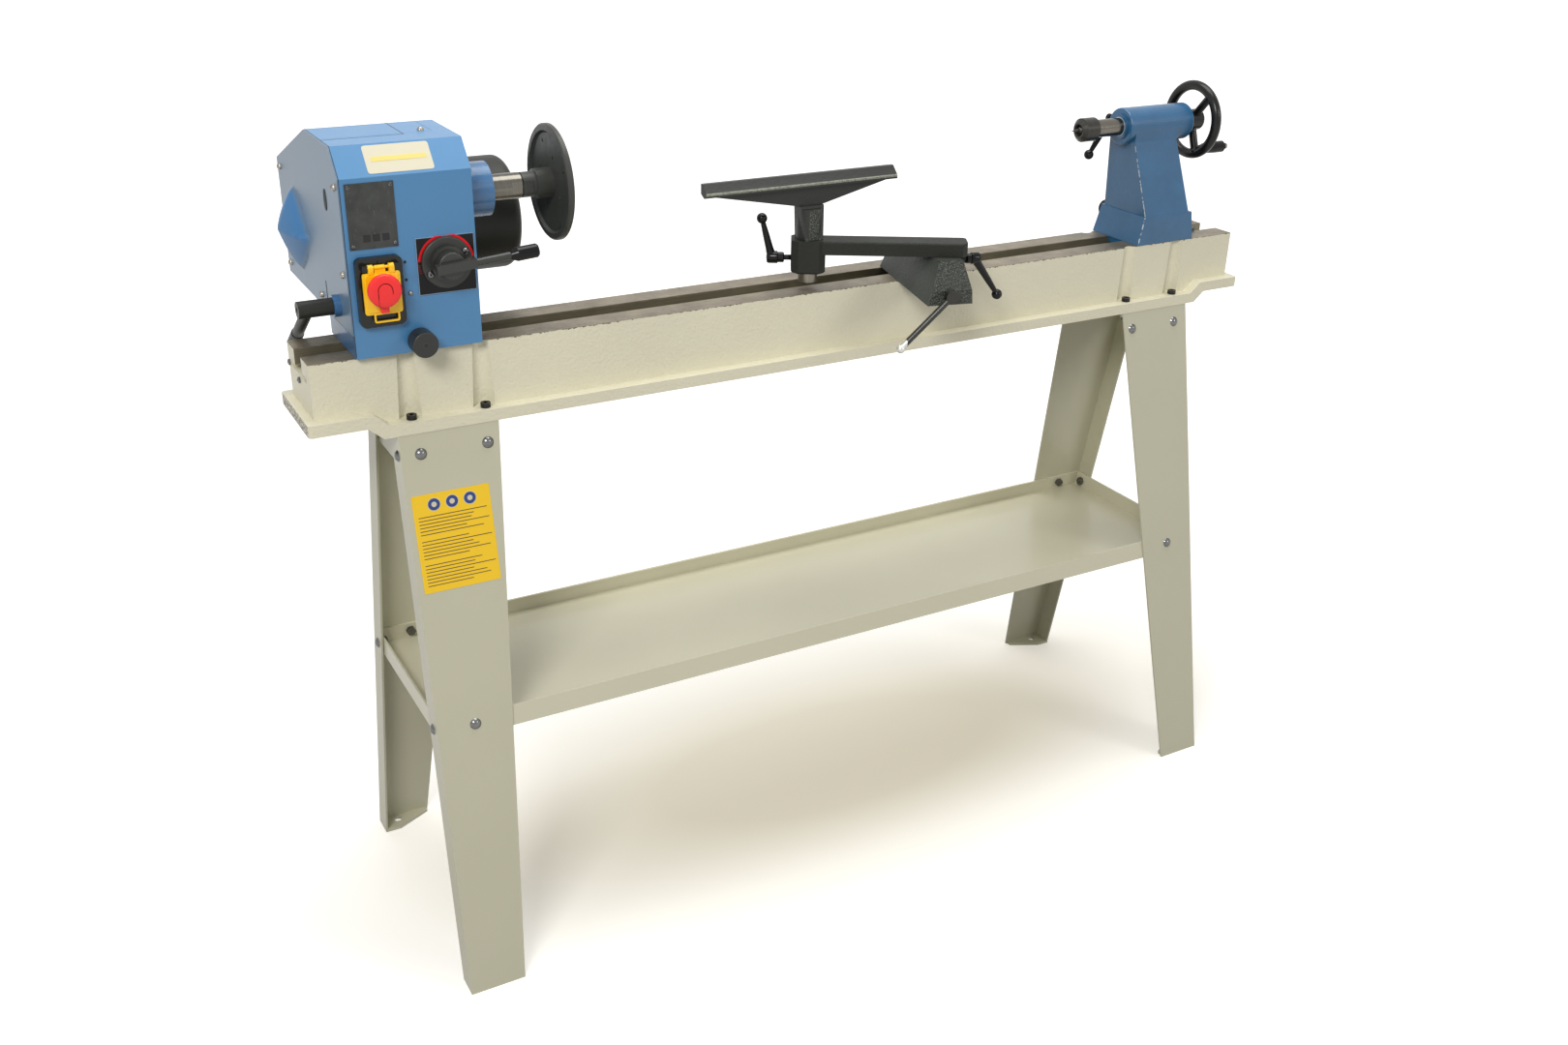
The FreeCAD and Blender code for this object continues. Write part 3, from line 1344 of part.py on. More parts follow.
def make_arm_lock():
    seat = rest_point(banjo_pedestal_left + banjo_pedestal_width + 1, arm_pivot_along,
                      arm_underside - arm_lock_drop)
    screw = rod(seat - rest_x_axis * 6.5, rest_x_axis, 26, 4)
    hub_seat = seat + rest_x_axis * 18
    end = hub_seat + rest_x_axis * (arm_lock_across - 6) + rest_y_axis * 8 - Z * arm_lock_drop_end
    return join([screw, ball_lever(hub_seat, rest_x_axis, 8.7, 22, 14, end)])


def make_rest_lock():
    seat = point(holder.x, holder.y, holder_bottom + rest_lock_rise) + arm_along * (holder_half + 1)
    screw = rod(seat - arm_along * 9, arm_along, 20, 4)
    hub_seat = seat + arm_along * 9
    end = seat + arm_along * rest_lock_out + Z * rest_lock_up
    return join([screw, ball_lever(hub_seat, arm_along, 9, 26, 18, end)])


def make_tool_rest():
    """Blade with a sloping front and a ridge, a gusset below it, a neck and the post."""
    cx = holder.x + rest_offset
    cy = holder.y
    x0 = cx - rest_length / 2
    x1 = cx + rest_length / 2
    ridge = rest_top - rest_blade_height + 5
    section = [(cy + 6, rest_top), (cy + 1, rest_top), (cy - 12, ridge), (cy - 12, ridge - 5),
               (cy - 4, ridge - 7), (cy + 6, ridge - 2)]
    blade = prism([point(x0, y, z) for y, z in section], X * rest_length)
    foot = rest_top - rest_gusset
    outline = [(x0 + 2, ridge - 4), (x1 - 2, ridge - 4), (holder.x + 20, foot), (holder.x - 20, foot)]
    gusset = prism([point(x, cy - 4, z) for x, z in outline], Y * 9)
    neck_low = arm_top + body_gap
    ring = Part.makePolygon([point(holder.x + a, cy + b, foot) for a, b in
                             ((-20, -8), (20, -8), (20, 9), (-20, 9), (-20, -8))])
    low_ring = Part.makePolygon([point(holder.x + a, cy + b, neck_low) for a, b in
                                 ((-15, -17), (15, -17), (15, 14), (-15, 14), (-15, -17))])
    neck = Part.makeLoft([ring, low_ring], True)
    drum = rod(point(holder.x, cy, neck_low), Z, foot - neck_low - 4, 18.5)
    post = rod(point(holder.x, cy, post_bottom), Z, foot - post_bottom - 10, post_radius)
    lower = [e for e in post.Edges if e.isClosed() and e.CenterOfMass.z < post_bottom + 1]
    post = post.makeChamfer(1.5, lower)
    return join([blade, gusset, neck, drum, post])


# ---- write every sub-part --------------------------------------------------
leg = make_leg()
bracket = make_bracket()
nodes = {
    "bed": make_bed(),
    "left_front_leg": leg,
    "left_rear_leg": mirror_y(leg),
    "right_front_leg": mirror_x(leg),
    "right_rear_leg": mirror_x(mirror_y(leg)),
    "left_leg_bracket": bracket,
    "right_leg_bracket": mirror_x(bracket),
    "shelf": make_shelf(),
    "bed_screws": make_bed_screws(),
    "leg_bolts": make_leg_bolts(),
    "leg_nuts": make_leg_nuts(),
    "shelf_bolts": make_shelf_bolts(),
    "bed_end_stop": make_end_stop(),
    "headstock_base": make_headstock_base(),
    "headstock_housing": make_headstock_housing(),
    "swivel_clamp": make_swivel_clamp(),
    "end_cover": make_end_plate(),
    "access_lid": make_access_lid(),
    "cover_screws": make_cover_screws(),
    "motor": make_motor(),
    "drive_belt": make_drive_belt(),
    "spindle_bearings": make_spindle_bearings(),
    "speed_plate": make_speed_plate(),
    "speed_dial": make_speed_dial(),
    "switch_box": make_switch_box(),
    "name_plate": make_name_plate(),
    "index_bush": make_index_bush(),
    "spindle": make_spindle(),
    "spindle_pulley": make_spindle_pulley(),
    "faceplate": make_faceplate(),
    "motor_shaft": make_motor_shaft(),
    "motor_pulley": make_motor_pulley(),
    "speed_lever": make_speed_lever(),
    "speed_grip": make_speed_grip(),
    "stop_flap": make_stop_flap(),
    "stop_mushroom": make_stop_mushroom(),
    "start_button": make_button(-1),
    "stop_button": make_button(1),
    "index_pin": make_index_pin(),
    "index_knob": make_index_knob(),
    "swivel_shaft": make_swivel_shaft(),
    "swivel_lever": make_swivel_lever(),
    "tailstock_body": make_tailstock_body(),
    "tailstock_clamp": make_tailstock_clamp(),
    "quill": make_quill(),
    "live_centre": make_live_centre(),
    "handwheel": make_handwheel(),
    "feed_screw": make_feed_screw(),
    "handle_pin": make_handle_pin(),
    "wheel_handle": make_wheel_handle(),
    "quill_lock": make_quill_lock(),
    "tail_clamp_lever": make_tail_clamp_lever(),
    "banjo_base": make_banjo_base(),
    "banjo_clamp": make_banjo_clamp(),
    "eye_bolt": make_eye_bolt(),
    "cam_lever": make_cam_lever(),
    "rest_arm": make_rest_arm(),
    "arm_lock": make_arm_lock(),
    "tool_rest": make_tool_rest(),
    "rest_lock": make_rest_lock(),
}
os.makedirs("parts", exist_ok=True)
for name, shape in nodes.items():
    shape.exportStep(os.path.join("parts", name + ".step"))
    print(name, len(shape.Solids), shape.isValid(), round(shape.Volume / 1000, 1))
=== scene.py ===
import json
import math

import bmesh
import bpy
from mathutils import Matrix, Vector


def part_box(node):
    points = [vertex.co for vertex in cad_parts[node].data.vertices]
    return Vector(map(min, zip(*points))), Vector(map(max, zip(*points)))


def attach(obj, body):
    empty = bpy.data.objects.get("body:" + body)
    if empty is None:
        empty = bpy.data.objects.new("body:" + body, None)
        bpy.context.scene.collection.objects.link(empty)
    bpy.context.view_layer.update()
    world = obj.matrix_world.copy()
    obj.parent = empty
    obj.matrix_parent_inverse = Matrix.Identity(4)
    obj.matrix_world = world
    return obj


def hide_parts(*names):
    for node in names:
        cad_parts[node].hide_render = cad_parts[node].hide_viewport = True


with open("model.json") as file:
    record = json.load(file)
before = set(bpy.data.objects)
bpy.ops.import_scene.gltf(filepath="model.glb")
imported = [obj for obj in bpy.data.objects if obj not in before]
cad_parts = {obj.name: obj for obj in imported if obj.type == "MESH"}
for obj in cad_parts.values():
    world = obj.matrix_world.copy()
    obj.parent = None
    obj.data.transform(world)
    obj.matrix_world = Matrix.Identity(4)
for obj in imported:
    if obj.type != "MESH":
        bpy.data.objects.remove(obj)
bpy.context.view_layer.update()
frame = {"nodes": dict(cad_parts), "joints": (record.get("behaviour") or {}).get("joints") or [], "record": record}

nodes = frame["nodes"]
joints = {joint["name"]: joint for joint in frame["joints"]}

X = Vector((1, 0, 0))
Y = Vector((0, 1, 0))
Z = Vector((0, 0, 1))

# Measures of the headstock's sheets, in metres, that several pieces share.
cover_sheet = 0.002
roof_front = -0.034
roof_rear = 0.085
shoulder_drop = 0.034
eaves_drop = 0.069
print_lift = 0.0003


# ---- small maths -----------------------------------------------------------
def colour(red, green, blue):
    """A paint colour from its usual 0 to 255 numbers."""
    linear = []
    for value in (red, green, blue):
        value /= 255
        linear.append(value / 12.92 if value <= 0.04045 else ((value + 0.055) / 1.055) ** 2.4)
    return (*linear, 1.0)


def corners(node):
    """Lowest and highest corner of a solid's box."""
    low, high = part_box(node)
    return Vector(low), Vector(high)


def middle(node):
    low, high = corners(node)
    return (low + high) / 2


def joint_place(name):
    return Vector(joints[name]["pos_m"])


def joint_axis(name):
    return Vector(joints[name]["axis"]).normalized()


def axes_for(direction):
    """Two unit vectors square to a direction."""
    direction = direction.normalized()
    side = direction.cross(Z if abs(direction.z) < 0.9 else X).normalized()
    return side, direction.cross(side)


# ---- shader node groups ----------------------------------------------------
class Tree:
    """Short hand for adding and joining shader nodes."""

    def __init__(self, tree):
        self.tree = tree

    def add(self, kind, values=None, **settings):
        node = self.tree.nodes.new(kind)
        for key, value in settings.items():
            setattr(node, key, value)
        for key, value in (values or {}).items():
            socket = node.inputs[key]
            if isinstance(value, bpy.types.NodeSocket):
                self.tree.links.new(value, socket)
            else:
                socket.default_value = value
        return node

    def maths(self, operation, first, second=0.0, third=None):
        values = {0: first, 1: second}
        if third is not None:
            values[2] = third
        return self.add("ShaderNodeMath", values, operation=operation).outputs[0]

    def less(self, first, second):
        return self.maths("SUBTRACT", first, second)

    def times(self, first, *others):
        for other in others:
            first = self.maths("MULTIPLY", first, other)
        return first

    def most(self, first, *others):
        for other in others:
            first = self.maths("MAXIMUM", first, other)
        return first

    def distance(self, first, second):
        """Length of the hypotenuse over two sides."""
        squares = [self.times(side, side) for side in (first, second)]
        return self.maths("SQRT", self.maths("ADD", *squares))

    def vector(self, operation, first, second):
        return self.add("ShaderNodeVectorMath", {0: first, 1: second}, operation=operation).outputs

    def scaled(self, value, factor):
        return self.add("ShaderNodeVectorMath", {0: value, 3: factor}, operation="SCALE").outputs[0]

    def length(self, value):
        return self.add("ShaderNodeVectorMath", {0: value}, operation="LENGTH").outputs["Value"]

    def split(self, value):
        return self.add("ShaderNodeSeparateXYZ", {0: value}).outputs

    def blend(self, mask, first, second):
        node = self.add("ShaderNodeMix", {0: mask, 6: first, 7: second}, data_type="RGBA")
        return node.outputs[2]

    def ramp(self, value, low, high, out_low=0.0, out_high=1.0):
        node = self.add("ShaderNodeMapRange", {0: value, 1: low, 2: high, 3: out_low, 4: out_high})
        node.clamp = True
        return node.outputs[0]

    def fade(self, value, low, high):
        """1 up to the low value and 0 from the high one."""
        return self.ramp(value, low, high, 1.0, 0.0)

    def between(self, value, low, high, soft):
        """1 between two values, with a soft step outside each."""
        return self.times(self.ramp(value, low - soft, low), self.fade(value, high, high + soft))

    def noise(self, vector, scale, detail=3.0, roughness=0.5):
        values = {"Vector": vector, "Scale": scale, "Detail": detail, "Roughness": roughness}
        return self.add("ShaderNodeTexNoise", values).outputs[0]

    def cells(self, vector, scale):
        return self.add("ShaderNodeTexVoronoi", {"Vector": vector, "Scale": scale}).outputs["Distance"]

    def send(self, target, **values):
        """Joins values to the sockets of a node by their names, with _ for a space."""
        for name, value in values.items():
            self.tree.links.new(value, target.inputs[name.replace("_", " ")])


def new_group(name, inputs, outputs):
    """An empty node group with named sockets, and its working tree."""
    tree = bpy.data.node_groups.new(name, "ShaderNodeTree")
    for label, kind, default in inputs:
        socket = tree.interface.new_socket(label, in_out="INPUT", socket_type=kind)
        if default is not None:
            socket.default_value = default
    for label, kind in outputs:
        tree.interface.new_socket(label, in_out="OUTPUT", socket_type=kind)
    work = Tree(tree)
    return tree, work, work.add("NodeGroupInput").outputs, work.add("NodeGroupOutput")


def enamel_grain_group():
    """Slight waviness and shade of sprayed or brushed paint."""
    tree, work, given, out = new_group(
        "enamel_grain",
        [("Vector", "NodeSocketVector", None), ("Scale", "NodeSocketFloat", 300.0),
         ("Shade", "NodeSocketFloat", 0.04)],
        [("Height", "NodeSocketFloat"), ("Shade", "NodeSocketFloat")])
    fine = work.noise(given["Vector"], given["Scale"], 2.0)
    broad = work.noise(given["Vector"], work.times(given["Scale"], 0.06), 4.0)
    swing = work.less(work.noise(given["Vector"], 7.0, 4.0), 0.5)
    work.send(out, Height=work.maths("MULTIPLY_ADD", fine, 0.6, broad),
              Shade=work.maths("MULTIPLY_ADD", swing, work.times(given["Shade"], 4.0), 1.0))
    return tree


def sand_casting_group():
    """Rough sand-cast skin: a grainy height and a mask of small pits."""
    tree, work, given, out = new_group(
        "sand_casting",
        [("Vector", "NodeSocketVector", None), ("Scale", "NodeSocketFloat", 260.0)],
        [("Height", "NodeSocketFloat"), ("Pits", "NodeSocketFloat")])
    grain = work.noise(given["Vector"], given["Scale"], 3.0, 0.6)
    cells = work.cells(given["Vector"], work.times(given["Scale"], 1.3))
    broad = work.noise(given["Vector"], work.times(given["Scale"], 0.12), 3.0)
    lumps = work.maths("MULTIPLY_ADD", cells, 0.5, grain)
    work.send(out, Height=work.maths("ADD", lumps, broad), Pits=work.ramp(grain, 0.64, 0.72))
    return tree


def chipped_edge_group():
    """Where paint has chipped off near an edge: the distance is measured in metres from that edge."""
    tree, work, given, out = new_group(
        "chipped_edge",
        [("Vector", "NodeSocketVector", None), ("Distance", "NodeSocketFloat", 1.0),
         ("Reach", "NodeSocketFloat", 0.002), ("Scale", "NodeSocketFloat", 120.0)],
        [("Mask", "NodeSocketFloat")])
    ragged = work.noise(given["Vector"], given["Scale"], 5.0, 0.65)
    limit = work.times(given["Reach"], work.ramp(ragged, 0.42, 0.72))
    work.send(out, Mask=work.ramp(work.less(limit, given["Distance"]), 0.0, 0.0003))
    return tree


def tool_marks_group():
    """Fine lines left by a cutter: the vector is squeezed along the lines' own direction."""
    tree, work, given, out = new_group(
        "tool_marks",
        [("Vector", "NodeSocketVector", None), ("Stretch", "NodeSocketVector", (1.0, 1.0, 1.0)),
         ("Scale", "NodeSocketFloat", 800.0)],
        [("Height", "NodeSocketFloat"), ("Shade", "NodeSocketFloat")])
    drawn = work.vector("MULTIPLY", given["Vector"], given["Stretch"])[0]
    lines = work.noise(drawn, given["Scale"], 3.0, 0.7)
    cloud = work.noise(given["Vector"], 22.0, 4.0)
    shade = work.maths("ADD", work.ramp(lines, 0.3, 0.7, 0.82, 1.12),
                       work.ramp(cloud, 0.3, 0.7, -0.1, 0.1))
    work.send(out, Height=lines, Shade=shade)
    return tree


def worn_line_group():
    """Where paint has worn through along a straight edge: a ragged broken line round that edge."""
    tree, work, given, out = new_group(
        "worn_line",
        [("Vector", "NodeSocketVector", None), ("Start", "NodeSocketVector", (0.0, 0.0, 0.0)),
         ("Along", "NodeSocketVector", (0.0, 0.0, 1.0)), ("Length", "NodeSocketFloat", 0.1),
         ("Width", "NodeSocketFloat", 0.001)],
        [("Mask", "NodeSocketFloat")])
    offset = work.vector("SUBTRACT", given["Vector"], given["Start"])[0]
    reach = work.vector("DOT_PRODUCT", offset, given["Along"])["Value"]
    gap = work.length(work.vector("SUBTRACT", offset, work.scaled(given["Along"], reach))[0])
    ragged = work.ramp(work.noise(given["Vector"], 160.0, 3.0, 0.6), 0.44, 0.52)
    near = work.ramp(work.less(work.times(given["Width"], ragged), gap), 0.0, 0.0003)
    left = work.less(given["Length"], reach)
    inside = work.times(work.ramp(reach, 0.0, 0.002), work.ramp(left, 0.0, 0.002))
    work.send(out, Mask=work.times(near, inside))
    return tree


enamel_grain = enamel_grain_group()
sand_casting = sand_casting_group()
chipped_edge = chipped_edge_group()
tool_marks = tool_marks_group()
worn_line = worn_line_group()


# ---- finishes --------------------------------------------------------------
def start_finish(name, roughness, metallic=0.0, coat=0.0, gleam=0.5):
    material = bpy.data.materials.new(name)
    material.use_nodes = True
    work = Tree(material.node_tree)
    shader = material.node_tree.nodes["Principled BSDF"]
    shader.inputs["Roughness"].default_value = roughness
    shader.inputs["Metallic"].default_value = metallic
    shader.inputs["Coat Weight"].default_value = coat
    shader.inputs["Coat Roughness"].default_value = 0.08
    shader.inputs["Specular IOR Level"].default_value = gleam
    return material, work, shader, work.add("ShaderNodeTexCoord").outputs["Object"]


def place_group(work, group, values):
    """Outputs of a shared node group placed in a finish."""
    return work.add("ShaderNodeGroup", values, node_tree=group).outputs


def grained(work, place, scale, shade):
    return place_group(work, enamel_grain, {"Vector": place, "Scale": scale, "Shade": shade})


def cast_skin(work, place, scale):
    return place_group(work, sand_casting, {"Vector": place, "Scale": scale})


def cut_marks(work, place, stretch, scale):
    return place_group(work, tool_marks, {"Vector": place, "Stretch": stretch, "Scale": scale})


def shaded(work, paint, shade):
    return work.scaled(paint[:3], shade)


def raise_surface(work, shader, height, strength, distance):
    bump = work.add("ShaderNodeBump", {"Height": height, "Strength": strength, "Distance": distance})
    work.send(shader, Normal=bump.outputs[0])


def enamel(name, paint, roughness, scale=300.0, depth=0.00012, shade=0.03, coat=0.0, gleam=0.5):
    """Smooth sprayed paint or moulded plastic of one colour."""
    material, work, shader, place = start_finish(name, roughness, 0.0, coat, gleam)
    grain = grained(work, place, scale, shade)
    work.send(shader, Base_Color=shaded(work, paint, grain["Shade"]),
              Roughness=work.ramp(grain["Height"], 0.4, 1.3, roughness - 0.05, roughness + 0.06))
    raise_surface(work, shader, grain["Height"], 0.6, depth)
    return material


def casting(name, paint, pit_paint, roughness, scale=260.0, depth=0.0007, coat=0.0, gleam=0.5):
    """Paint or black skin over a sand casting, darker in its pits."""
    material, work, shader, place = start_finish(name, roughness, 0.0, coat, gleam)
    skin = cast_skin(work, place, scale)
    grain = grained(work, place, 120.0, 0.06)
    painted = shaded(work, paint, grain["Shade"])
    work.send(shader, Base_Color=work.blend(skin["Pits"], painted, pit_paint),
              Roughness=work.ramp(skin["Height"], 0.6, 1.6, roughness + 0.1, roughness - 0.08))
    raise_surface(work, shader, skin["Height"], 0.7, depth)
    return material


def steel(name, paint, roughness, stretch, scale=900.0, metallic=1.0, depth=0.00004):
    """Bare metal with its cutter's lines."""
    material, work, shader, place = start_finish(name, roughness, metallic)
    marks = cut_marks(work, place, stretch, scale)
    work.send(shader, Base_Color=shaded(work, paint, marks["Shade"]),
              Roughness=work.ramp(marks["Height"], 0.3, 0.7, roughness - 0.06, roughness + 0.1))
    raise_surface(work, shader, marks["Height"], 0.5, depth)
    return material


def bed_finish():
    """Cream enamel on the casting, bare ways on top and in the slot, small chips along their edges."""
    low, high = corners("bed")
    way_depth = 0.022
    slot_half = 0.0188
    material, work, shader, place = start_finish("bed_enamel_and_ways", 0.4)
    along, across, height = work.split(place)
    on_top = work.ramp(height, high.z - 0.0006, high.z - 0.0003)
    from_middle = work.maths("ABSOLUTE", across)
    in_slot = work.times(work.fade(from_middle, slot_half - 0.0002, slot_half + 0.0002),
                         work.ramp(height, high.z - way_depth - 0.0005, high.z - way_depth + 0.0005))
    bare = work.most(on_top, in_slot)
    chips = place_group(work, chipped_edge, {"Vector": place, "Distance": work.less(high.z, height),
                                             "Reach": 0.0030, "Scale": 170.0})
    end_chips = place_group(work, chipped_edge, {"Vector": place, "Distance": work.less(along, low.x),
                                                 "Reach": 0.0007, "Scale": 240.0})
    worn = work.most(chips["Mask"], end_chips["Mask"])
    skin = cast_skin(work, place, 190.0)
    grain = grained(work, place, 140.0, 0.035)
    marks = cut_marks(work, place, (0.02, 1.0, 1.0), 700.0)
    smear = work.ramp(work.noise(place, 16.0, 5.0, 0.65), 0.35, 0.7)
    metal = work.blend(smear, colour(112, 104, 88), colour(150, 139, 120))
    slot_only = work.times(in_slot, work.less(1.0, on_top))
    metal = work.scaled(work.blend(slot_only, metal, colour(122, 116, 98)), marks["Shade"])
    painted = work.blend(worn, shaded(work, colour(224, 220, 197), grain["Shade"]), colour(84, 74, 62))
    work.send(shader, Base_Color=work.blend(bare, painted, metal), Metallic=work.times(bare, 0.6),
              Roughness=work.ramp(grain["Height"], 0.4, 1.3, 0.36, 0.5))
    rough = work.times(skin["Height"], work.ramp(bare, 0.0, 1.0, 1.0, 0.08))
    raise_surface(work, shader, work.less(rough, work.times(worn, 0.6)), 0.65, 0.0011)
    return material


def cover_finish():
    """Enamel of the pressed end cover: greyer on the flat sheet, fuller blue on the bulge; the blue follows how
    far the sheet stands out and is painted shading of the bulge.
    """
    high = corners("end_cover")[1]
    material, work, shader, place = start_finish("end_cover_enamel", 0.36, 0.0, 0.05, 0.35)
    grain = grained(work, place, 60.0, 0.02)
    # Painted shading: the colour turns from the sheet's grey to a fuller blue as the bulge stands out.
    out = work.ramp(work.less(high.x - cover_sheet, work.split(place)["X"]), 0.0001, 0.0060)
    paint = work.blend(out, colour(98, 124, 148), colour(64, 120, 172))
    work.send(shader, Base_Color=work.scaled(paint, grain["Shade"]),
              Roughness=work.ramp(out, 0.0, 1.0, 0.36, 0.42))
    raise_surface(work, shader, grain["Height"], 0.25, 0.0002)
    return material


def head_base_finish():
    """Dark blue casting, with the turned rings of the spindle boss on its right end."""
    high = corners("headstock_base")[1]
    boss_length = 0.0386
    rings_in_a_metre = 4200.0
    material, work, shader, place = start_finish("headstock_casting", 0.3, 0.0, 0.25)
    along = work.split(place)["X"]
    on_boss = work.ramp(along, high.x - boss_length - 0.0002, high.x - boss_length + 0.0002)
    skin = cast_skin(work, place, 120.0)
    grain = grained(work, place, 120.0, 0.05)
    rings = work.maths("SINE", work.times(along, rings_in_a_metre))
    plain = shaded(work, colour(52, 100, 146), grain["Shade"])
    turned = shaded(work, colour(54, 108, 156), work.ramp(rings, -1.0, 1.0, 0.84, 1.1))
    work.send(shader, Base_Color=work.blend(on_boss, plain, turned),
              Roughness=work.ramp(on_boss, 0.0, 1.0, 0.38, 0.2))
    height = work.add("ShaderNodeMix", {0: on_boss, 2: skin["Height"], 3: work.times(rings, 0.5)},
                      data_type="FLOAT").outputs[0]
    raise_surface(work, shader, height, 0.6, 0.0003)
    return material


def tailstock_finish():
    """Blue casting paint, worn through along its front edges and round the bore's lip."""
    low, high = corners("tailstock_body")
    foot_top = low.z + 0.0553
    column_top = 1.062
    column_back = low.y + 0.028
    material, work, shader, place = start_finish("tailstock_casting", 0.36, 0.0, 0.25)
    skin = cast_skin(work, place, 110.0)
    grain = grained(work, place, 120.0, 0.05)
    column_foot = low.y + 0.0012
    worn = 0.0
    for start, end, width in (
            ((low.x + 0.0294, column_foot, foot_top), (low.x + 0.0141, column_back, column_top), 0.0012),
            ((low.x + 0.0200, low.y, low.z + 0.010), (low.x + 0.0285, low.y, foot_top), 0.0016),
            ((high.x - 0.0125, column_foot, foot_top), (high.x - 0.034, column_back, column_top), 0.0005)):
        edge = Vector(end) - Vector(start)
        line = place_group(work, worn_line, {"Vector": place, "Start": start, "Along": edge.normalized(),
                                             "Length": edge.length, "Width": width})
        worn = work.most(worn, line["Mask"])
    along, across, height = work.split(place)
    radius = work.distance(across, work.less(height, joint_place("handwheel_turn").z))
    lip = work.times(work.fade(work.less(along, low.x), 0.0008, 0.0012),
                     work.fade(radius, 0.0150, 0.0155))
    broad = work.ramp(work.noise(place, 26.0, 4.0, 0.6), 0.35, 0.7, 0.9, 1.08)
    paint = shaded(work, colour(34, 92, 134), work.times(broad, grain["Shade"]))
    work.send(shader, Base_Color=work.blend(work.most(worn, lip), paint, colour(196, 204, 208)),
              Roughness=work.ramp(skin["Height"], 0.6, 1.6, 0.44, 0.3))
    raise_surface(work, shader, skin["Height"], 0.7, 0.00035)
    return material


def dial_print_finish():
    """Printed speed plate: a thin pale border, a red band over the dial and plain ticks on black."""
    low, high = corners("speed_plate")
    centre = joint_place("speed_lever_turn")
    tick_pitch = 1 / 14.0
    material, work, shader, place = start_finish("speed_plate_print", 0.3, 0.0, 0.0, 0.2)
    across, _, height = work.split(place)
    side = work.less(across, centre.x)
    rise = work.less(height, centre.z)
    radius = work.distance(side, rise)
    arc = work.times(work.between(radius, 0.0333, 0.0361, 0.0002), work.ramp(rise, 0.0032, 0.0036))
    steps = work.maths("FRACT", work.maths("DIVIDE", work.maths("ARCTAN2", rise, side), tick_pitch))
    marks = work.times(work.between(steps, 0.46, 0.58, 0.04),
                       work.between(radius, 0.0335, 0.0362, 0.0002),
                       work.between(rise, -0.0121, 0.0006, 0.0004))
    edge = work.less(high.x, across)
    for other in (work.less(across, low.x), work.less(height, low.z), work.less(high.z, height)):
        edge = work.maths("MINIMUM", edge, other)
    plain = work.blend(work.fade(edge, 0.0005, 0.0008), colour(8, 9, 10), colour(140, 164, 186))
    grain = grained(work, place, 900.0, 0.05)
    work.send(shader, Base_Color=work.blend(work.most(arc, marks), plain, colour(226, 24, 32)),
              Roughness=work.ramp(grain["Height"], 0.4, 1.3, 0.26, 0.36))
    return material


def plate_print_finish():
    """Thin black plate, a little scuffed."""
    material, work, shader, place = start_finish("black_plate", 0.4, 0.0, 0.0, 0.35)
    grain = grained(work, place, 700.0, 0.12)
    cloud = work.noise(place, 45.0, 4.0)
    drawn = work.vector("MULTIPLY", place, (1.0, 1.0, 0.35))[0]
    scuffs = work.ramp(work.noise(drawn, 420.0, 3.0, 0.7), 0.62, 0.72, 0.0, 0.5)
    paint = work.blend(work.ramp(cloud, 0.35, 0.75), colour(48, 50, 49), colour(70, 73, 72))
    work.send(shader, Base_Color=work.blend(scuffs, paint, colour(112, 116, 114)),
              Roughness=work.ramp(cloud, 0.3, 0.7, 0.34, 0.48))
    raise_surface(work, shader, grain["Height"], 0.2, 0.00006)
    return material


def banjo_finish():
    """Cast iron of the tool rest's base: plain faces, a very rough front slope and a rough toe, with pale specks
    painted on as glints over the rough parts.
    """
    low = corners("banjo_base")[0]
    along = joint_axis("cam_turn")
    front = joint_place("cam_turn") * Vector((1, 1, 0)) + along * 0.006
    steepness = 0.0314 / 0.043
    slope_foot = low.z + 0.0200 - 0.002 * steepness
    material, work, shader, place = start_finish("banjo_iron", 0.5, 0.0, 0.0, 0.35)
    depth = work.vector("DOT_PRODUCT", work.vector("SUBTRACT", place, front)[0], along)["Value"]
    height = work.split(place)["Z"]
    from_slope = work.less(height, work.maths("MULTIPLY_ADD", depth, steepness, slope_foot))
    on_slope = work.times(work.fade(work.maths("ABSOLUTE", from_slope), 0.0012, 0.0020),
                          work.fade(depth, 0.047, 0.049))
    toe = work.times(work.fade(height, low.z + 0.0195, low.z + 0.021), work.fade(depth, 0.004, 0.006))
    rough = work.most(on_slope, work.times(toe, 0.6))
    skin = cast_skin(work, place, 260.0)
    speck = work.ramp(work.noise(place, 520.0, 2.0, 0.6), 0.5, 0.64)
    paint = work.blend(skin["Pits"], colour(50, 54, 49), colour(32, 36, 33))
    # Pale specks over the rough slope and toe are painted glints on the grit.
    painted_glints = work.blend(speck, colour(46, 50, 45), colour(98, 101, 93))
    work.send(shader, Base_Color=work.blend(rough, paint, painted_glints),
              Roughness=work.ramp(rough, 0.0, 1.0, 0.5, 0.34))
    grit = work.times(work.cells(place, 330.0), 3.2, rough)
    raise_surface(work, shader, work.maths("MULTIPLY_ADD", skin["Height"], 0.4, grit), 0.9, 0.0015)
    return material


def cam_bar_finish():
    """Dark drawn steel of the clamping bar, bright at its free end."""
    low = corners("cam_lever")[0]
    end_length = 0.0135
    material, work, shader, place = start_finish("cam_bar_steel", 0.26, 0.7)
    marks = cut_marks(work, place, (0.05, 1.0, 1.0), 800.0)
    end = work.fade(work.less(work.split(place)["X"], low.x), end_length - 0.0005, end_length + 0.0005)
    dark = shaded(work, colour(58, 58, 55), marks["Shade"])
    work.send(shader, Base_Color=work.blend(end, dark, colour(206, 206, 200)),
              Roughness=work.ramp(marks["Height"], 0.3, 0.7, 0.22, 0.36))
    raise_surface(work, shader, marks["Height"], 0.5, 0.00004)
    return material


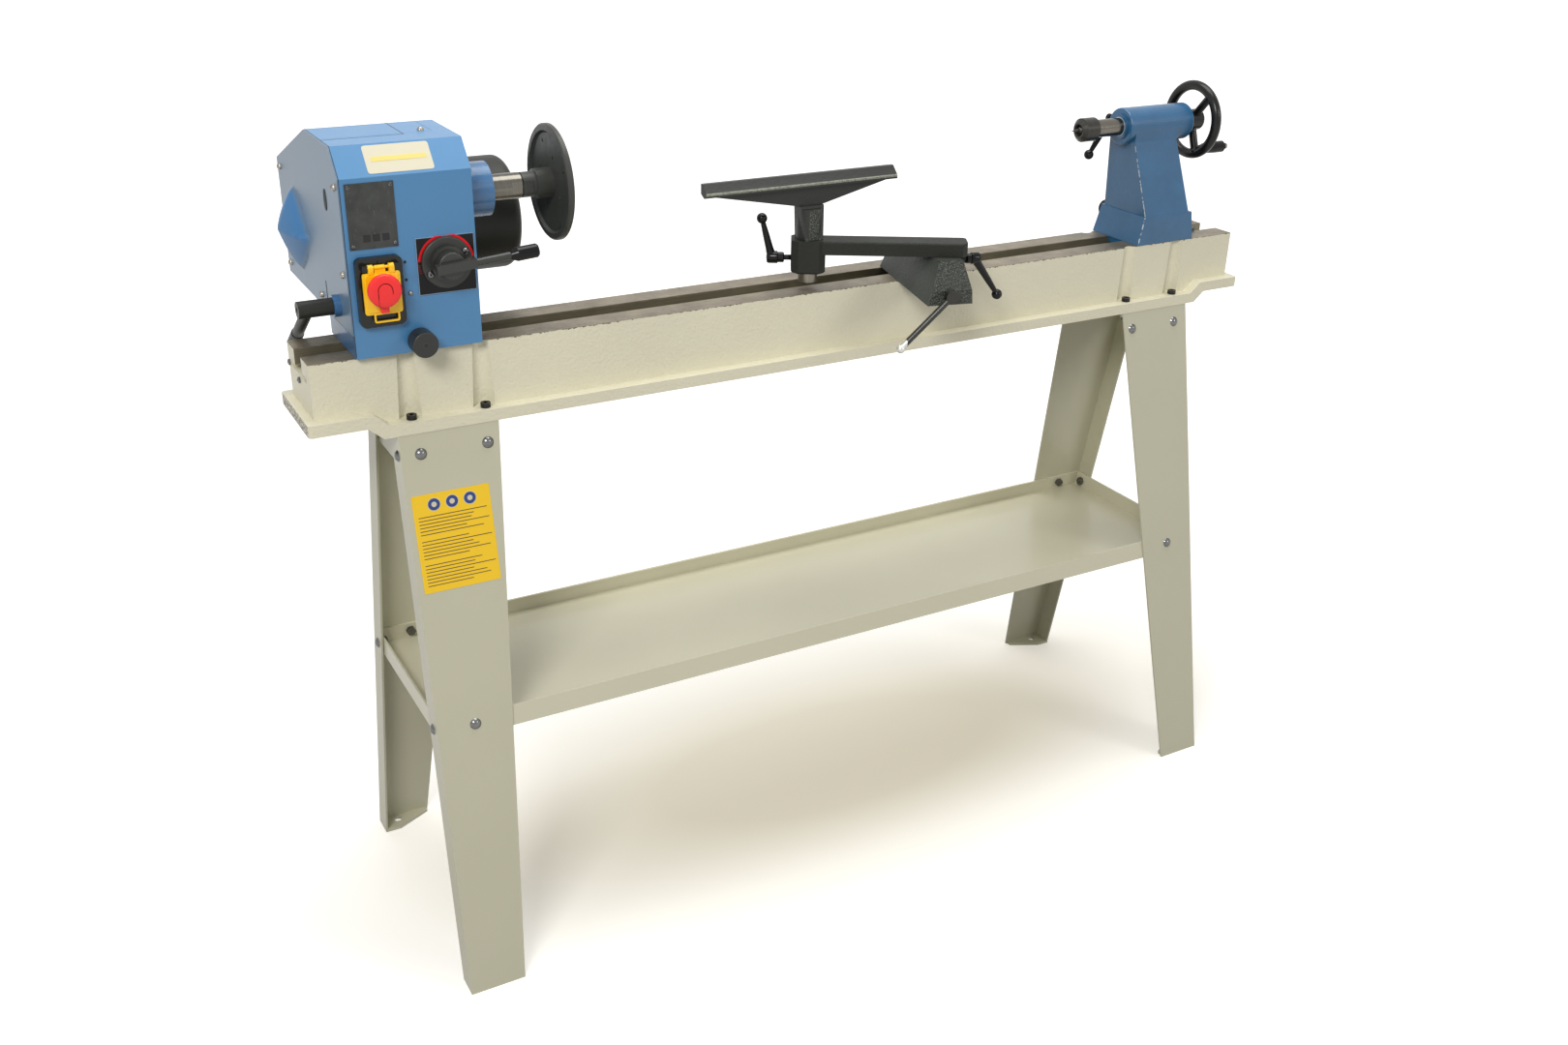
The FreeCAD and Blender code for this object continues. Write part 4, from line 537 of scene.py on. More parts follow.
def rest_finish():
    """Tool rest: black iron with a painted highlight along its rough ridge, painted shade on the blade face above
    it, a dressed top, a speckled neck and a steel post.
    """
    low, high = corners("tool_rest")
    ridge_height = high.z - 0.0130
    blade_back = low.y + 0.0080
    post_top = 0.976
    material, work, shader, place = start_finish("tool_rest_iron", 0.5, 0.0, 0.0, 0.35)
    _, side, height = work.split(place)
    # A pale ragged line along the ridge is a painted highlight.
    from_ridge = work.maths("ABSOLUTE", work.less(height, ridge_height))
    ragged = work.ramp(work.noise(place, 420.0, 3.0, 0.7), 0.35, 0.6, 0.35, 1.0)
    ridge = work.times(work.fade(from_ridge, 0.0014, 0.0022), ragged,
                       work.fade(side, blade_back - 0.0005, blade_back + 0.0005))
    top = work.ramp(height, high.z - 0.0010, high.z - 0.0005)
    facet = work.times(work.fade(side, low.y + 0.0016, low.y + 0.0026),
                       work.fade(height, ridge_height - 0.020, ridge_height - 0.018))
    speck = work.times(work.ramp(work.noise(place, 620.0, 2.0, 0.6), 0.5, 0.64, 0.0, 0.45), facet)
    post = work.fade(height, post_top - 0.0005, post_top + 0.0005)
    skin = cast_skin(work, place, 260.0)
    # Painted shade: the blade's face above the ridge is darker towards the top.
    painted_hollow_shade = work.ramp(height, ridge_height, high.z - 0.002, 1.1, 0.7)
    grain = grained(work, place, 120.0, 0.06)
    paint = shaded(work, colour(38, 40, 37), work.times(painted_hollow_shade, grain["Shade"]))
    paint = work.blend(top, paint, colour(48, 50, 46))
    paint = work.blend(work.most(ridge, speck), paint, colour(150, 154, 140))
    marks = cut_marks(work, place, (1.0, 1.0, 0.05), 900.0)
    rod = shaded(work, colour(128, 124, 112), marks["Shade"])
    dressed = work.most(top, post)
    work.send(shader, Base_Color=work.blend(post, paint, rod), Metallic=work.times(post, 0.9),
              Roughness=work.ramp(dressed, 0.0, 1.0, 0.5, 0.33))
    height = work.times(skin["Height"], work.ramp(dressed, 0.0, 1.0, 1.0, 0.1))
    raise_surface(work, shader, height, 0.7, 0.0005)
    return material


stand_cream = enamel("stand_cream", colour(192, 190, 168), 0.36, 170.0, 0.00022, 0.02, 0.1)
head_blue = enamel("headstock_blue", colour(74, 131, 179), 0.36, 420.0, 0.0001, 0.02, 0.15)
bed_skin = bed_finish()
cover_paint = cover_finish()
head_casting = head_base_finish()
tail_casting = tailstock_finish()
green_black = casting("cast_iron_green_black", colour(50, 54, 49), colour(30, 34, 32), 0.55, 260.0, 0.0005,
                      0.0, 0.3)
banjo_casting = banjo_finish()
rest_iron = rest_finish()
arm_iron = casting("arm_iron", colour(44, 46, 42), colour(28, 31, 28), 0.62, 240.0, 0.0006, 0.0, 0.18)
# The tray has the stand's cream paint; this lighter copy is painted light, standing for the top light falling on
# its up-facing tray.
tray_cream_painted_lighter = enamel("tray_cream_painted_lighter", colour(204, 201, 178), 0.34, 170.0, 0.00015, 0.02, 0.15)
smooth_casting = casting("faceplate_black", colour(58, 60, 56), colour(46, 48, 45), 0.42, 90.0, 0.00016,
                         0.0, 0.35)
satin_black = enamel("motor_black", colour(40, 41, 37), 0.46, 500.0, 0.00006, 0.05, 0.0, 0.25)
gloss_black = enamel("lever_black", colour(11, 11, 12), 0.15, 300.0, 0.00002, 0.05, 0.0, 0.22)
wheel_black = enamel("handwheel_black", colour(20, 20, 19), 0.22, 260.0, 0.00008, 0.06, 0.0, 0.28)
moulded_black = enamel("moulded_black", colour(26, 26, 26), 0.42, 1400.0, 0.00006, 0.04, 0.0, 0.3)
box_black = enamel("switch_box_black", colour(18, 18, 17), 0.26, 900.0, 0.00004, 0.05, 0.1, 0.3)
dial_grey = enamel("dial_dark_grey", colour(46, 48, 45), 0.38, 900.0, 0.00008, 0.06, 0.0, 0.4)
bar_grey = enamel("lever_dark_grey", colour(50, 51, 48), 0.3, 700.0, 0.00008, 0.07, 0.0, 0.4)
knob_black = enamel("knob_black", colour(36, 37, 35), 0.4, 1100.0, 0.00006, 0.06, 0.0, 0.4)
socket_black = steel("oxide_black", colour(36, 36, 36), 0.34, (1.0, 1.0, 0.05), 900.0, 0.6)
round_steel = steel("turned_steel", colour(150, 146, 138), 0.2, (1.0, 0.02, 0.02), 1500.0)
dark_steel = steel("dark_turned_steel", colour(52, 51, 47), 0.3, (1.0, 0.02, 0.02), 1200.0, 0.5)
bar_steel = cam_bar_finish()
quill_steel = steel("quill_steel", colour(112, 108, 100), 0.14, (1.0, 0.02, 0.02), 2600.0)
spindle_steel = steel("spindle_steel", colour(104, 101, 94), 0.16, (1.0, 0.02, 0.02), 1800.0)
flat_steel = steel("plain_steel", colour(150, 148, 142), 0.32, (0.1, 1.0, 1.0), 800.0)
plated = steel("bright_plate", colour(112, 113, 112), 0.16, (1.0, 1.0, 1.0), 300.0, 1.0, 0.00002)
signal_yellow = enamel("signal_yellow", colour(255, 206, 14), 0.34, 700.0, 0.00003, 0.02, 0.2)
signal_red = enamel("signal_red", colour(250, 42, 44), 0.4, 500.0, 0.00004, 0.02, 0.1)
groove_shade_red = enamel("stop_cap_groove_painted_shade", colour(168, 26, 32), 0.5, 500.0, 0.00003, 0.02)
go_green = enamel("go_green", colour(30, 132, 66), 0.32, 700.0, 0.00003, 0.02, 0.2)
belt_black = enamel("belt_rubber", colour(28, 28, 28), 0.7, 900.0, 0.0001, 0.05)
seam_shadow = enamel("seam_shadow", colour(24, 40, 58), 0.6, 500.0, 0.00003, 0.04)
hole_shadow = enamel("hole_shadow", colour(8, 9, 10), 0.7, 500.0, 0.00003, 0.04)
dial_print = dial_print_finish()
black_plate = plate_print_finish()
label_yellow = enamel("label_yellow", colour(244, 200, 16), 0.36, 200.0, 0.00003, 0.015, 0.2)
band_yellow = enamel("band_yellow", colour(226, 204, 112), 0.36, 200.0, 0.00003, 0.01, 0.2)
label_cream = enamel("label_cream", colour(206, 201, 178), 0.36, 200.0, 0.00003, 0.01, 0.2)
label_blue = enamel("label_blue", colour(22, 52, 120), 0.36, 200.0, 0.00003, 0.01, 0.2)
stop_grey = casting("grey_stop", colour(88, 89, 83), colour(72, 73, 68), 0.45)
label_grey = enamel("label_print", colour(50, 44, 26), 0.36, 200.0, 0.00003, 0.01, 0.2)

slot_finish = {
    "blue_paint": head_blue, "grey_cover_paint": cover_paint, "cream_paint": stand_cream,
    "green_black_paint": green_black, "black_paint": satin_black, "black_oxide": socket_black,
    "machined_steel": round_steel, "chrome_steel": plated, "black_plastic": moulded_black,
    "yellow_plastic": signal_yellow, "red_plastic": signal_red, "green_plastic": go_green,
    "belt_rubber": belt_black, "plate_black": black_plate,
}
node_finish = {
    "bed": bed_skin, "tailstock_body": tail_casting, "headstock_base": head_casting,
    "faceplate": smooth_casting, "handwheel": wheel_black, "speed_plate": dial_print,
    "speed_dial": dial_grey, "speed_lever": bar_grey, "speed_grip": gloss_black, "switch_box": box_black,
    "index_knob": knob_black, "wheel_handle": gloss_black, "swivel_lever": satin_black,
    "swivel_shaft": satin_black, "live_centre": dark_steel, "cam_lever": bar_steel,
    "banjo_base": banjo_casting, "quill": quill_steel, "spindle": spindle_steel, "tool_rest": rest_iron,
    "rest_arm": arm_iron, "shelf": tray_cream_painted_lighter, "bed_end_stop": stop_grey, "leg_nuts": flat_steel,
    "tail_clamp_lever": gloss_black,
}
edge_width = {
    "bed": 0.0014, "tailstock_body": 0.0018, "headstock_housing": 0.0007, "headstock_base": 0.001,
    "faceplate": 0.0012, "rest_arm": 0.0012, "banjo_base": 0.0014, "tool_rest": 0.0010,
    "switch_box": 0.0016, "stop_flap": 0.0012, "shelf": 0.0009, "speed_lever": 0.0008,
    "spindle": 0.0004, "bed_end_stop": 0.001, "speed_dial": 0.0012, "handwheel": 0.0012, "motor": 0.003,
}


def soften(piece, width, segments=2):
    bevel = piece.modifiers.new("soft_edges", "BEVEL")
    bevel.width = width
    bevel.segments = segments
    bevel.limit_method = "ANGLE"
    bevel.angle_limit = math.radians(35)
    bevel.harden_normals = True
    bevel.use_clamp_overlap = True


def dress_cad_nodes():
    """Gives every carried-over solid its finish and slightly rounded edges."""
    slot_of = {part["node"]: part["material_slot"] for part in frame["record"]["subparts"]}
    for name, solid in nodes.items():
        finish = node_finish.get(name, slot_finish[slot_of[name]])
        if not solid.material_slots:
            solid.data.materials.append(finish)
        for place in solid.material_slots:
            place.material = finish
        solid.data.shade_smooth()
        solid.data.set_sharp_from_angle(angle=math.radians(32))
        soften(solid, edge_width.get(name, 0.0005))


# ---- mesh building ---------------------------------------------------------
def make_piece(name, vertices, faces, finish, body, slot, edge=0.0, stands_for=(), angle=32, bend=0):
    """A new mesh piece with its finish, which rides on a body and may stand for CAD nodes."""
    mesh = bpy.data.meshes.new(name)
    mesh.from_pydata([tuple(v) for v in vertices], [], faces)
    work = bmesh.new()
    work.from_mesh(mesh)
    bmesh.ops.remove_doubles(work, verts=work.verts, dist=1e-6)
    bmesh.ops.recalc_face_normals(work, faces=work.faces)
    work.to_mesh(mesh)
    work.free()
    mesh.materials.append(finish)
    mesh.shade_smooth()
    mesh.set_sharp_from_angle(angle=math.radians(angle))
    piece = bpy.data.objects.new(name, mesh)
    bpy.context.scene.collection.objects.link(piece)
    if bend:
        smooth = piece.modifiers.new("rounded", "SUBSURF")
        smooth.levels = bend
        smooth.render_levels = bend
    if edge:
        soften(piece, edge)
    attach(piece, body)
    if stands_for:
        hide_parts(*stands_for)
    return piece


class Shape:
    """Collects vertices and faces from several simple forms into one mesh."""

    def __init__(self):
        self.vertices = []
        self.faces = []

    def rings(self, loops, closed_start=True, closed_end=True):
        """Skins equal loops of points one after another."""
        base = len(self.vertices)
        count = len(loops[0])
        for loop in loops:
            self.vertices += loop
        for i in range(len(loops) - 1):
            for j in range(count):
                a = base + i * count + j
                b = base + i * count + (j + 1) % count
                self.faces.append((a, b, b + count, a + count))
        if closed_start:
            self.faces.append(tuple(base + j for j in reversed(range(count))))
        if closed_end:
            last = base + (len(loops) - 1) * count
            self.faces.append(tuple(last + j for j in range(count)))
        return self

    def turned(self, start, axis, profile, sides=48):
        """A turned form from (distance, radius) pairs along an axis."""
        axis = axis.normalized()
        side, other = axes_for(axis)
        loops = []
        for distance, radius in profile:
            centre = start + axis * distance
            radius = max(radius, 1e-5)
            loops.append([centre + (side * math.cos(t) + other * math.sin(t)) * radius
                          for t in (2 * math.pi * k / sides for k in range(sides))])
        return self.rings(loops)

    def prism(self, outline, vector):
        return self.rings([list(outline), [p + vector for p in outline]])

    def ball(self, centre, radius, sides=32, axis=Z):
        steps = sides // 2
        profile = []
        for k in range(steps + 1):
            turn = math.pi * k / steps
            profile.append((radius - radius * math.cos(turn), radius * math.sin(turn)))
        return self.turned(centre - axis * radius, axis, profile, sides)

    def finish(self, name, finish, body, slot, **options):
        return make_piece(name, self.vertices, self.faces, finish, body, slot, **options)


def rounded_outline(points, radius, steps=5):
    """Rounds the corners of a flat outline."""
    result = []
    count = len(points)
    for i in range(count):
        here = points[i]
        before = (points[i - 1] - here)
        after = (points[(i + 1) % count] - here)
        reach = min(radius, before.length * 0.45, after.length * 0.45)
        start = here + before.normalized() * reach
        end = here + after.normalized() * reach
        for k in range(steps + 1):
            t = k / steps
            result.append(start * (1 - t) ** 2 + here * (2 * t * (1 - t)) + end * t ** 2)
    return result


# ---- lock levers -----------------------------------------------------------
def lock_lever(name, node, body, start, axis, hub_start, hub_length, hub_radius, knee, ball):
    """Clamping lever: screw, hub with a necked end, tapered rod and a ball."""
    shape = Shape()
    shape.turned(start, axis, [(0, 0.0034), (0.001, 0.0039), (hub_start, 0.0039)], 24)
    hub = start + axis * hub_start
    neck = hub_radius * 0.84
    shape.turned(hub, axis, [(0, hub_radius * 0.72), (0.0012, neck), (hub_length * 0.34, neck),
                             (hub_length * 0.38, hub_radius), (hub_length * 0.88, hub_radius),
                             (hub_length * 0.97, hub_radius * 0.86), (hub_length, hub_radius * 0.6)], 40)
    elbow = hub + axis * knee
    along = (ball - elbow).normalized()
    length = (ball - elbow).length
    shape.turned(elbow, along, [(0, 0.0064), (hub_radius, 0.0064), (hub_radius + 0.004, 0.0058),
                                (length * 0.6, 0.0049), (length - 0.006, 0.0037)], 28)
    shape.ball(ball, 0.0079, 36, along)
    shape.finish(name, gloss_black, body, "black_oxide", stands_for=(node,))
    disc(name + "_socket", hub + axis * (hub_length - 0.0004), axis, 0.0030, 0.0006, hole_shadow, body,
         "black_oxide", 6)


def build_lock_levers():
    """The three levers of the same kind: the rest's post, the arm and the quill."""
    along = -joint_axis("rest_lock_turn")
    seat = joint_place("rest_lock_turn") - along * 0.022
    lock_lever("rest_clamping_lever", "rest_lock", "rest_lock_handle", seat - along * 0.006, along,
               hub_start=0.015, hub_length=0.026, hub_radius=0.009, knee=0.018,
               ball=seat + along * 0.042 + Z * 0.057)
    along = joint_axis("arm_lock_turn")
    hub = joint_place("arm_lock_turn")
    lock_lever("arm_clamping_lever", "arm_lock", "arm_lock_handle", hub - along * 0.024, along,
               hub_start=0.024, hub_length=0.022, hub_radius=0.0087, knee=0.014,
               ball=hub + along * 0.058 + Z.cross(along) * 0.008 - Z * 0.060)
    place = joint_place("quill_lock_turn")
    hub = Vector((place.x, corners("quill_lock")[0].y + 0.015, place.z))
    lock_lever("quill_clamping_lever", "quill_lock", "quill_lock_body", hub - Y * 0.015, Y,
               hub_start=0.015, hub_length=0.014, hub_radius=0.007, knee=0.009,
               ball=hub + Vector((-0.038, 0.008, -0.056)))


# ---- headstock -------------------------------------------------------------
def head_outline():
    """Front, roof and rear corners of the headstock, as (across, height) pairs."""
    low, high = corners("headstock_housing")
    return [(low.y, high.z - shoulder_drop), (roof_front, high.z), (roof_rear, high.z),
            (high.y, high.z - eaves_drop)]


def head_roof_height(y):
    """Height of the headstock's outline above a place across it."""
    outline = head_outline()
    for (ya, za), (yb, zb) in zip(outline, outline[1:]):
        if y < yb:
            return za + (y - ya) / (yb - ya) * (zb - za)
    return outline[-1][1]


def bulge_height(y, z):
    """How far the end cover stands out, from 0 on the flat sheet to 1 at the bulge's point."""
    point_y, point_z = 0.180, 1.019
    across = y - point_y
    rise = z - point_z
    tip = rise - 0.16 * across * (1 if rise > 0 else 0.3)
    half_height = 0.0545 if rise >= 0 else 0.0575
    half_width = 0.064 if across > 0 else 0.069
    squareness = 1.18
    reach = ((abs(tip) / half_height) ** squareness
             + (abs(across) / half_width) ** squareness) ** (1 / squareness)
    pillow = max(0.0, 1 - reach)
    pillow = 1.05 * pillow ** 0.72 - 0.05 * pillow ** 3
    skirt = 0.0
    if across < 0:
        run = min(1.0, -across / 0.168)
        drift = rise - 0.036 * run
        skirt = 0.11 * (1 - run) ** 1.4 * math.exp(-(drift / (0.034 * (1 - run) + 0.004)) ** 2)
        skirt *= min(1.0, reach)
    return min(1.0, pillow + skirt)


def build_end_cover():
    """Pressed end cover: a flat sheet with a pointed bulge that fades towards the front."""
    low, high = corners("end_cover")
    face = high.x - cover_sheet
    tall = face - low.x - 0.0004
    front, rear = head_outline()[0][0], head_outline()[-1][0]
    bottom = 0.936
    columns, rows = 96, 67
    shape = Shape()
    for i in range(columns):
        y = front + (rear - front) * i / (columns - 1)
        top = head_roof_height(y)
        for j in range(rows):
            z = bottom + (top - bottom) * j / (rows - 1)
            shape.vertices.append(Vector((face - tall * bulge_height(y, z), y, z)))
    for i in range(columns - 1):
        for j in range(rows - 1):
            a = i * rows + j
            shape.faces.append((a, a + 1, a + rows + 1, a + rows))
    rim = [i * rows + rows - 1 for i in range(columns)]
    rim += [(columns - 1) * rows + j for j in range(rows - 2, -1, -1)]
    rim += [i * rows for i in range(columns - 2, -1, -1)]
    rim += list(range(1, rows - 1))
    back = len(shape.vertices)
    shape.vertices += [shape.vertices[k] + X * cover_sheet for k in rim]
    count = len(rim)
    for k in range(count):
        shape.faces.append((rim[k], rim[(k + 1) % count], back + (k + 1) % count, back + k))
    shape.finish("pressed_end_cover", cover_paint, "headstock", "grey_cover_paint",
                 stands_for=("end_cover",), angle=40)

    def mark(name, outline, proud, finish, slot):
        flat = Shape()
        flat.prism([Vector((face - proud, y, z)) for y, z in outline], X * 0.001)
        flat.finish(name, finish, "headstock", slot)

    turns = [2 * math.pi * k / 36 for k in range(36)]
    oval = [(0.0045 + 0.0062 * math.cos(t), 1.093 + 0.0135 * math.sin(t)) for t in turns]
    mark("cover_slot_shadow", oval, 0.0007, hole_shadow, "black_plastic")
    mark("cover_slit_shadow", [(0.0500, 0.940), (0.0525, 0.940), (0.0525, 0.978), (0.0500, 0.978)],
         0.0003, seam_shadow, "blue_paint")


def build_head_seams():
    """Thin dark joints between the cover, the housing and the lid, and the small holes in the front."""
    low = corners("headstock_housing")[0]
    proud = 0.00015
    depth = 0.0004
    front_foot = 0.908
    seam = Shape()
    outline = [(low.y, front_foot)] + head_outline()
    for (ya, za), (yb, zb) in zip(outline, outline[1:]):
        start, end = [Vector((low.x - 0.0004, y, z)) for y, z in ((ya, za), (yb, zb))]
        normal = (end - start).normalized().cross(X)
        if normal.z + abs(normal.y) * 0.1 < 0 or (abs(normal.z) < 0.01 and normal.y > 0):
            normal = -normal
        seam.prism([start + normal * proud, end + normal * proud, end + normal * proud + X * 0.0009,
                    start + normal * proud + X * 0.0009], -normal * depth)
    seam.finish("cover_joint", seam_shadow, "headstock", "blue_paint")
    lid_low, lid_high = corners("access_lid")
    joint_from_end = 0.038
    end = lid_high.x - joint_from_end
    lid = Shape()
    for x0, x1, y0, y1 in ((lid_low.x, end, lid_low.y - 0.0005, lid_low.y + 0.0004),
                           (end - 0.0005, end + 0.0005, lid_low.y, lid_high.y)):
        loop = ((x0, y0), (x1, y0), (x1, y1), (x0, y1))
        lid.prism([Vector((x, y, lid_high.z + proud)) for x, y in loop], -Z * depth)
    lid.finish("lid_joint", seam_shadow, "headstock", "blue_paint")
    for k, z in enumerate((1.0224, 0.9998)):
        place = Vector((-0.6448, low.y - 0.0002, z))
        disc("front_hole_%d" % (k + 1), place, Y, 0.0017, 0.0005, hole_shadow, "headstock",
             "black_plastic", 28)


def disc(name, centre, axis, radius, thickness, finish, body, slot, sides=32, far_radius=None):
    """A thin round, or with few sides a polygon, on its own."""
    if far_radius is None:
        far_radius = radius
    shape = Shape()
    shape.turned(centre, axis, [(0, radius), (thickness, far_radius)], sides)
    shape.finish(name, finish, body, slot)


def sticker(name, origin, right, up, width, tall, finish, body, slot, radius=0.003, proud=print_lift):
    """Thin printed label on a flat face."""
    normal = right.cross(up)
    outline = [origin, origin + right * width, origin + right * width + up * tall, origin + up * tall]
    shape = Shape()
    shape.prism([p + normal * proud for p in rounded_outline(outline, radius)], -normal * proud * 0.9)
    return shape.finish(name, finish, body, slot)


def small_screw(name, seat, axis, radius, body, finish):
    """Round screw head with its hexagonal drive recess."""
    shape = Shape()
    shape.turned(seat, axis, [(0, radius), (radius * 0.45, radius), (radius * 0.72, radius * 0.8),
                              (radius * 0.8, radius * 0.5), (radius * 0.8, 0.0)], 32)
    shape.finish(name, finish, body, "chrome_steel")
    disc(name + "_drive", seat + axis * radius * 0.7, axis, radius * 0.42, radius * 0.14, hole_shadow,
         body, "black_oxide", 6)


def build_name_plate():
    """Rivets and three plain sunk squares of the bare plate."""
    low, high = corners("name_plate")
    front = high.y - 0.0015
    inset = Vector((0.004, 0, 0.0045))
    left_bottom, right_top = low + inset, high - inset
    for k, (x, z) in enumerate(((left_bottom.x, right_top.z), (right_top.x, right_top.z),
                                (right_top.x, left_bottom.z), (left_bottom.x, left_bottom.z))):
        seat = Vector((x, front + 0.0002, z))
        small_screw("plate_rivet_%d" % (k + 1), seat, -Y, 0.0023, "headstock", plated)
    wide, tall, pitch = 0.0088, 0.009, 0.0118
    for k in range(3):
        corner = Vector((low.x + 0.017 + k * pitch, front - 0.0002, low.z + 0.0085))
        square = Shape()
        square.prism(rounded_outline([corner, corner + X * wide, corner + X * wide + Z * tall,
                                      corner + Z * tall], 0.001, 2), Y * 0.0004)
        square.finish("plate_square_%d" % (k + 1), hole_shadow, "headstock", "plate_black")


def build_labels():
    """Plain labels: one on the headstock's slant, one with discs and rules on the left front leg."""
    front, crest = [Vector((0, y, z)) for y, z in head_outline()[:2]]
    up = (crest - front).normalized()
    start = front + up * 0.004 + X * (corners("headstock_housing")[0].x + 0.0375)
    sticker("slant_label", start, X, up, 0.082, 0.0385, label_cream, "headstock", "cream_paint", 0.004)
    sticker("slant_label_band", start + up * 0.0160 + X * 0.007 + X.cross(up) * print_lift, X, up, 0.069,
            0.0065, band_yellow, "headstock", "yellow_plastic", 0.001)
    leg_foot = corners("left_front_leg")[0]
    leg_top, top_reach, foot_reach = 0.7975, 0.072, 0.2345
    slope = (foot_reach - top_reach) / leg_top
    up = Vector((0, slope, 1)).normalized()
    out = X.cross(up)
    height = 0.586
    origin = Vector((leg_foot.x + 0.0165, -top_reach - slope * (leg_top - height), height)) + out * 0.0001
    sticker("leg_label", origin, X, up, 0.106, 0.134, label_yellow, "stand", "yellow_plastic", 0.0015)
    for k in range(3):
        centre = origin + X * (0.029 + 0.0245 * k) + up * 0.119 + out * print_lift
        for part, radius, lift, finish, slot in (("rim", 0.0090, 0.0, label_cream, "cream_paint"),
                                                 ("disc", 0.0081, 0.0001, label_blue, "blue_paint"),
                                                 ("dot", 0.0036, 0.0002, label_cream, "cream_paint")):
            disc("leg_label_%s_%d" % (part, k + 1), centre + out * lift, out, radius, 0.00015, finish,
                 "stand", slot, 40)
    rule_pitch = 0.0047
    blank_rules = (6, 13)
    for k in range(21):
        if k in blank_rules:
            continue
        width = 0.062 + 0.034 * (0.5 + 0.5 * math.sin(k * 2.4 + 1.0))
        line = origin + X * 0.006 + up * (0.103 - k * rule_pitch) + out * print_lift
        sticker("leg_label_rule_%d" % (k + 1), line, X, up, width, 0.0011, label_grey, "stand",
                "black_plastic", 0.0002, 0.0001)


def build_dial():
    """Socket screws of the speed dial and the socket of the index knob."""
    centre = joint_place("speed_lever_turn")
    face = corners("speed_dial")[0].y
    pitch_radius = 0.0265
    for k, turn in enumerate((28, 208)):
        angle = math.radians(turn)
        across = Vector((math.cos(angle), 0, math.sin(angle))) * pitch_radius
        seat = Vector((centre.x, face + 0.0002, centre.z)) + across
        small_screw("dial_screw_%d" % (k + 1), seat, -Y, 0.0042, "headstock", plated)
    centre = middle("index_knob")
    centre.y = corners("index_knob")[0].y
    # The lighter grey rim round the knob's socket is a painted highlight on its chamfer.
    disc("knob_socket_rim_highlight", centre + Y * 0.0003, -Y, 0.0044, 0.0005, bar_grey, "index_plunger",
         "black_plastic", far_radius=0.0040)
    disc("knob_socket", centre - Y * 0.00025, -Y, 0.0031, 0.0003, hole_shadow, "index_plunger",
         "black_plastic", 6)


def build_bed_end():
    """Two small screws in the left end of the bed."""
    face = corners("bed")[0].x + 0.0122
    for k, (y, z) in enumerate(((0.049, 0.877), (0.0, 0.868))):
        small_screw("bed_end_screw_%d" % (k + 1), Vector((face, y, z)), -X, 0.0042, "stand", plated)


def ring_frame(shape, outer, inner, depth):
    """A flat closed frame between two loops with the same number of points."""
    base = len(shape.vertices)
    count = len(outer)
    for loop in (outer, inner, [p + depth for p in outer], [p + depth for p in inner]):
        shape.vertices += loop
    for k in range(count):
        n = (k + 1) % count
        for first, second in ((0, 1), (1, 3), (3, 2), (2, 0)):
            a, b = base + first * count, base + second * count
            shape.faces.append((a + k, a + n, b + n, b + k))


def build_flap():
    """Yellow flap: stepped body, two hinge ears, a lug between them, and a thin loop to lift it by."""
    low, high = corners("stop_flap")
    pin = joint_place("stop_flap_hinge")
    left, right = low.x + 0.0005, high.x - 0.0005
    front, back = low.y, high.y
    bottom, top = pin.z - 0.059, pin.z - 0.006
    body = Shape()

    def sheet(x0, x1, z0, z1, y, radius):
        edge = [Vector((x, y, z)) for x, z in ((x0, z0), (x1, z0), (x1, z1), (x0, z1))]
        return rounded_outline(edge, radius, 4)

    body.prism(sheet(left, right, bottom, top, front + 0.0016, 0.004), Y * (back - front - 0.0022))
    body.prism(sheet(left + 0.0028, right - 0.0028, bottom + 0.003, top - 0.0022, front, 0.003),
               Y * 0.003)
    ear_radius = 0.0040
    for x in (left + 0.0075, right - 0.0135):
        loop = [Vector((x, pin.y + 0.0036, top - 0.002)), Vector((x, pin.y - 0.0038, top - 0.002))]
        for k in range(13):
            turn = math.radians(180 - 180 * k / 12)
            loop.append(Vector((x, pin.y + ear_radius * math.cos(turn),
                                pin.z + ear_radius * math.sin(turn))))
        body.prism(loop, X * 0.0068)
    centre = (left + right) / 2
    lug = sheet(centre - 0.0080, centre + 0.0060, top - 0.002, pin.z + 0.0005, front + 0.0020, 0.001)
    body.prism(lug, Y * 0.0045)
    body.turned(Vector((centre - 0.0075, pin.y, pin.z)), X, [(0, 0.0030), (0.013, 0.0030)], 24)
    pin_length = right - left - 0.0026
    body.turned(Vector((left + 0.0013, pin.y, pin.z)), X, [(0, 0.0018), (pin_length, 0.0018)], 20)
    loop_face = front + 0.0012
    outer = sheet(centre - 0.0130, centre + 0.0190, pin.z - 0.0700, bottom + 0.002, loop_face, 0.0030)
    inner = sheet(centre - 0.0108, centre + 0.0168, pin.z - 0.0678, bottom - 0.0006, loop_face, 0.0014)
    ring_frame(body, outer, inner, Y * 0.0032)
    body.finish("stop_flap_body", signal_yellow, "emergency_flap", "yellow_plastic",
                stands_for=("stop_flap",), edge=0.0006)


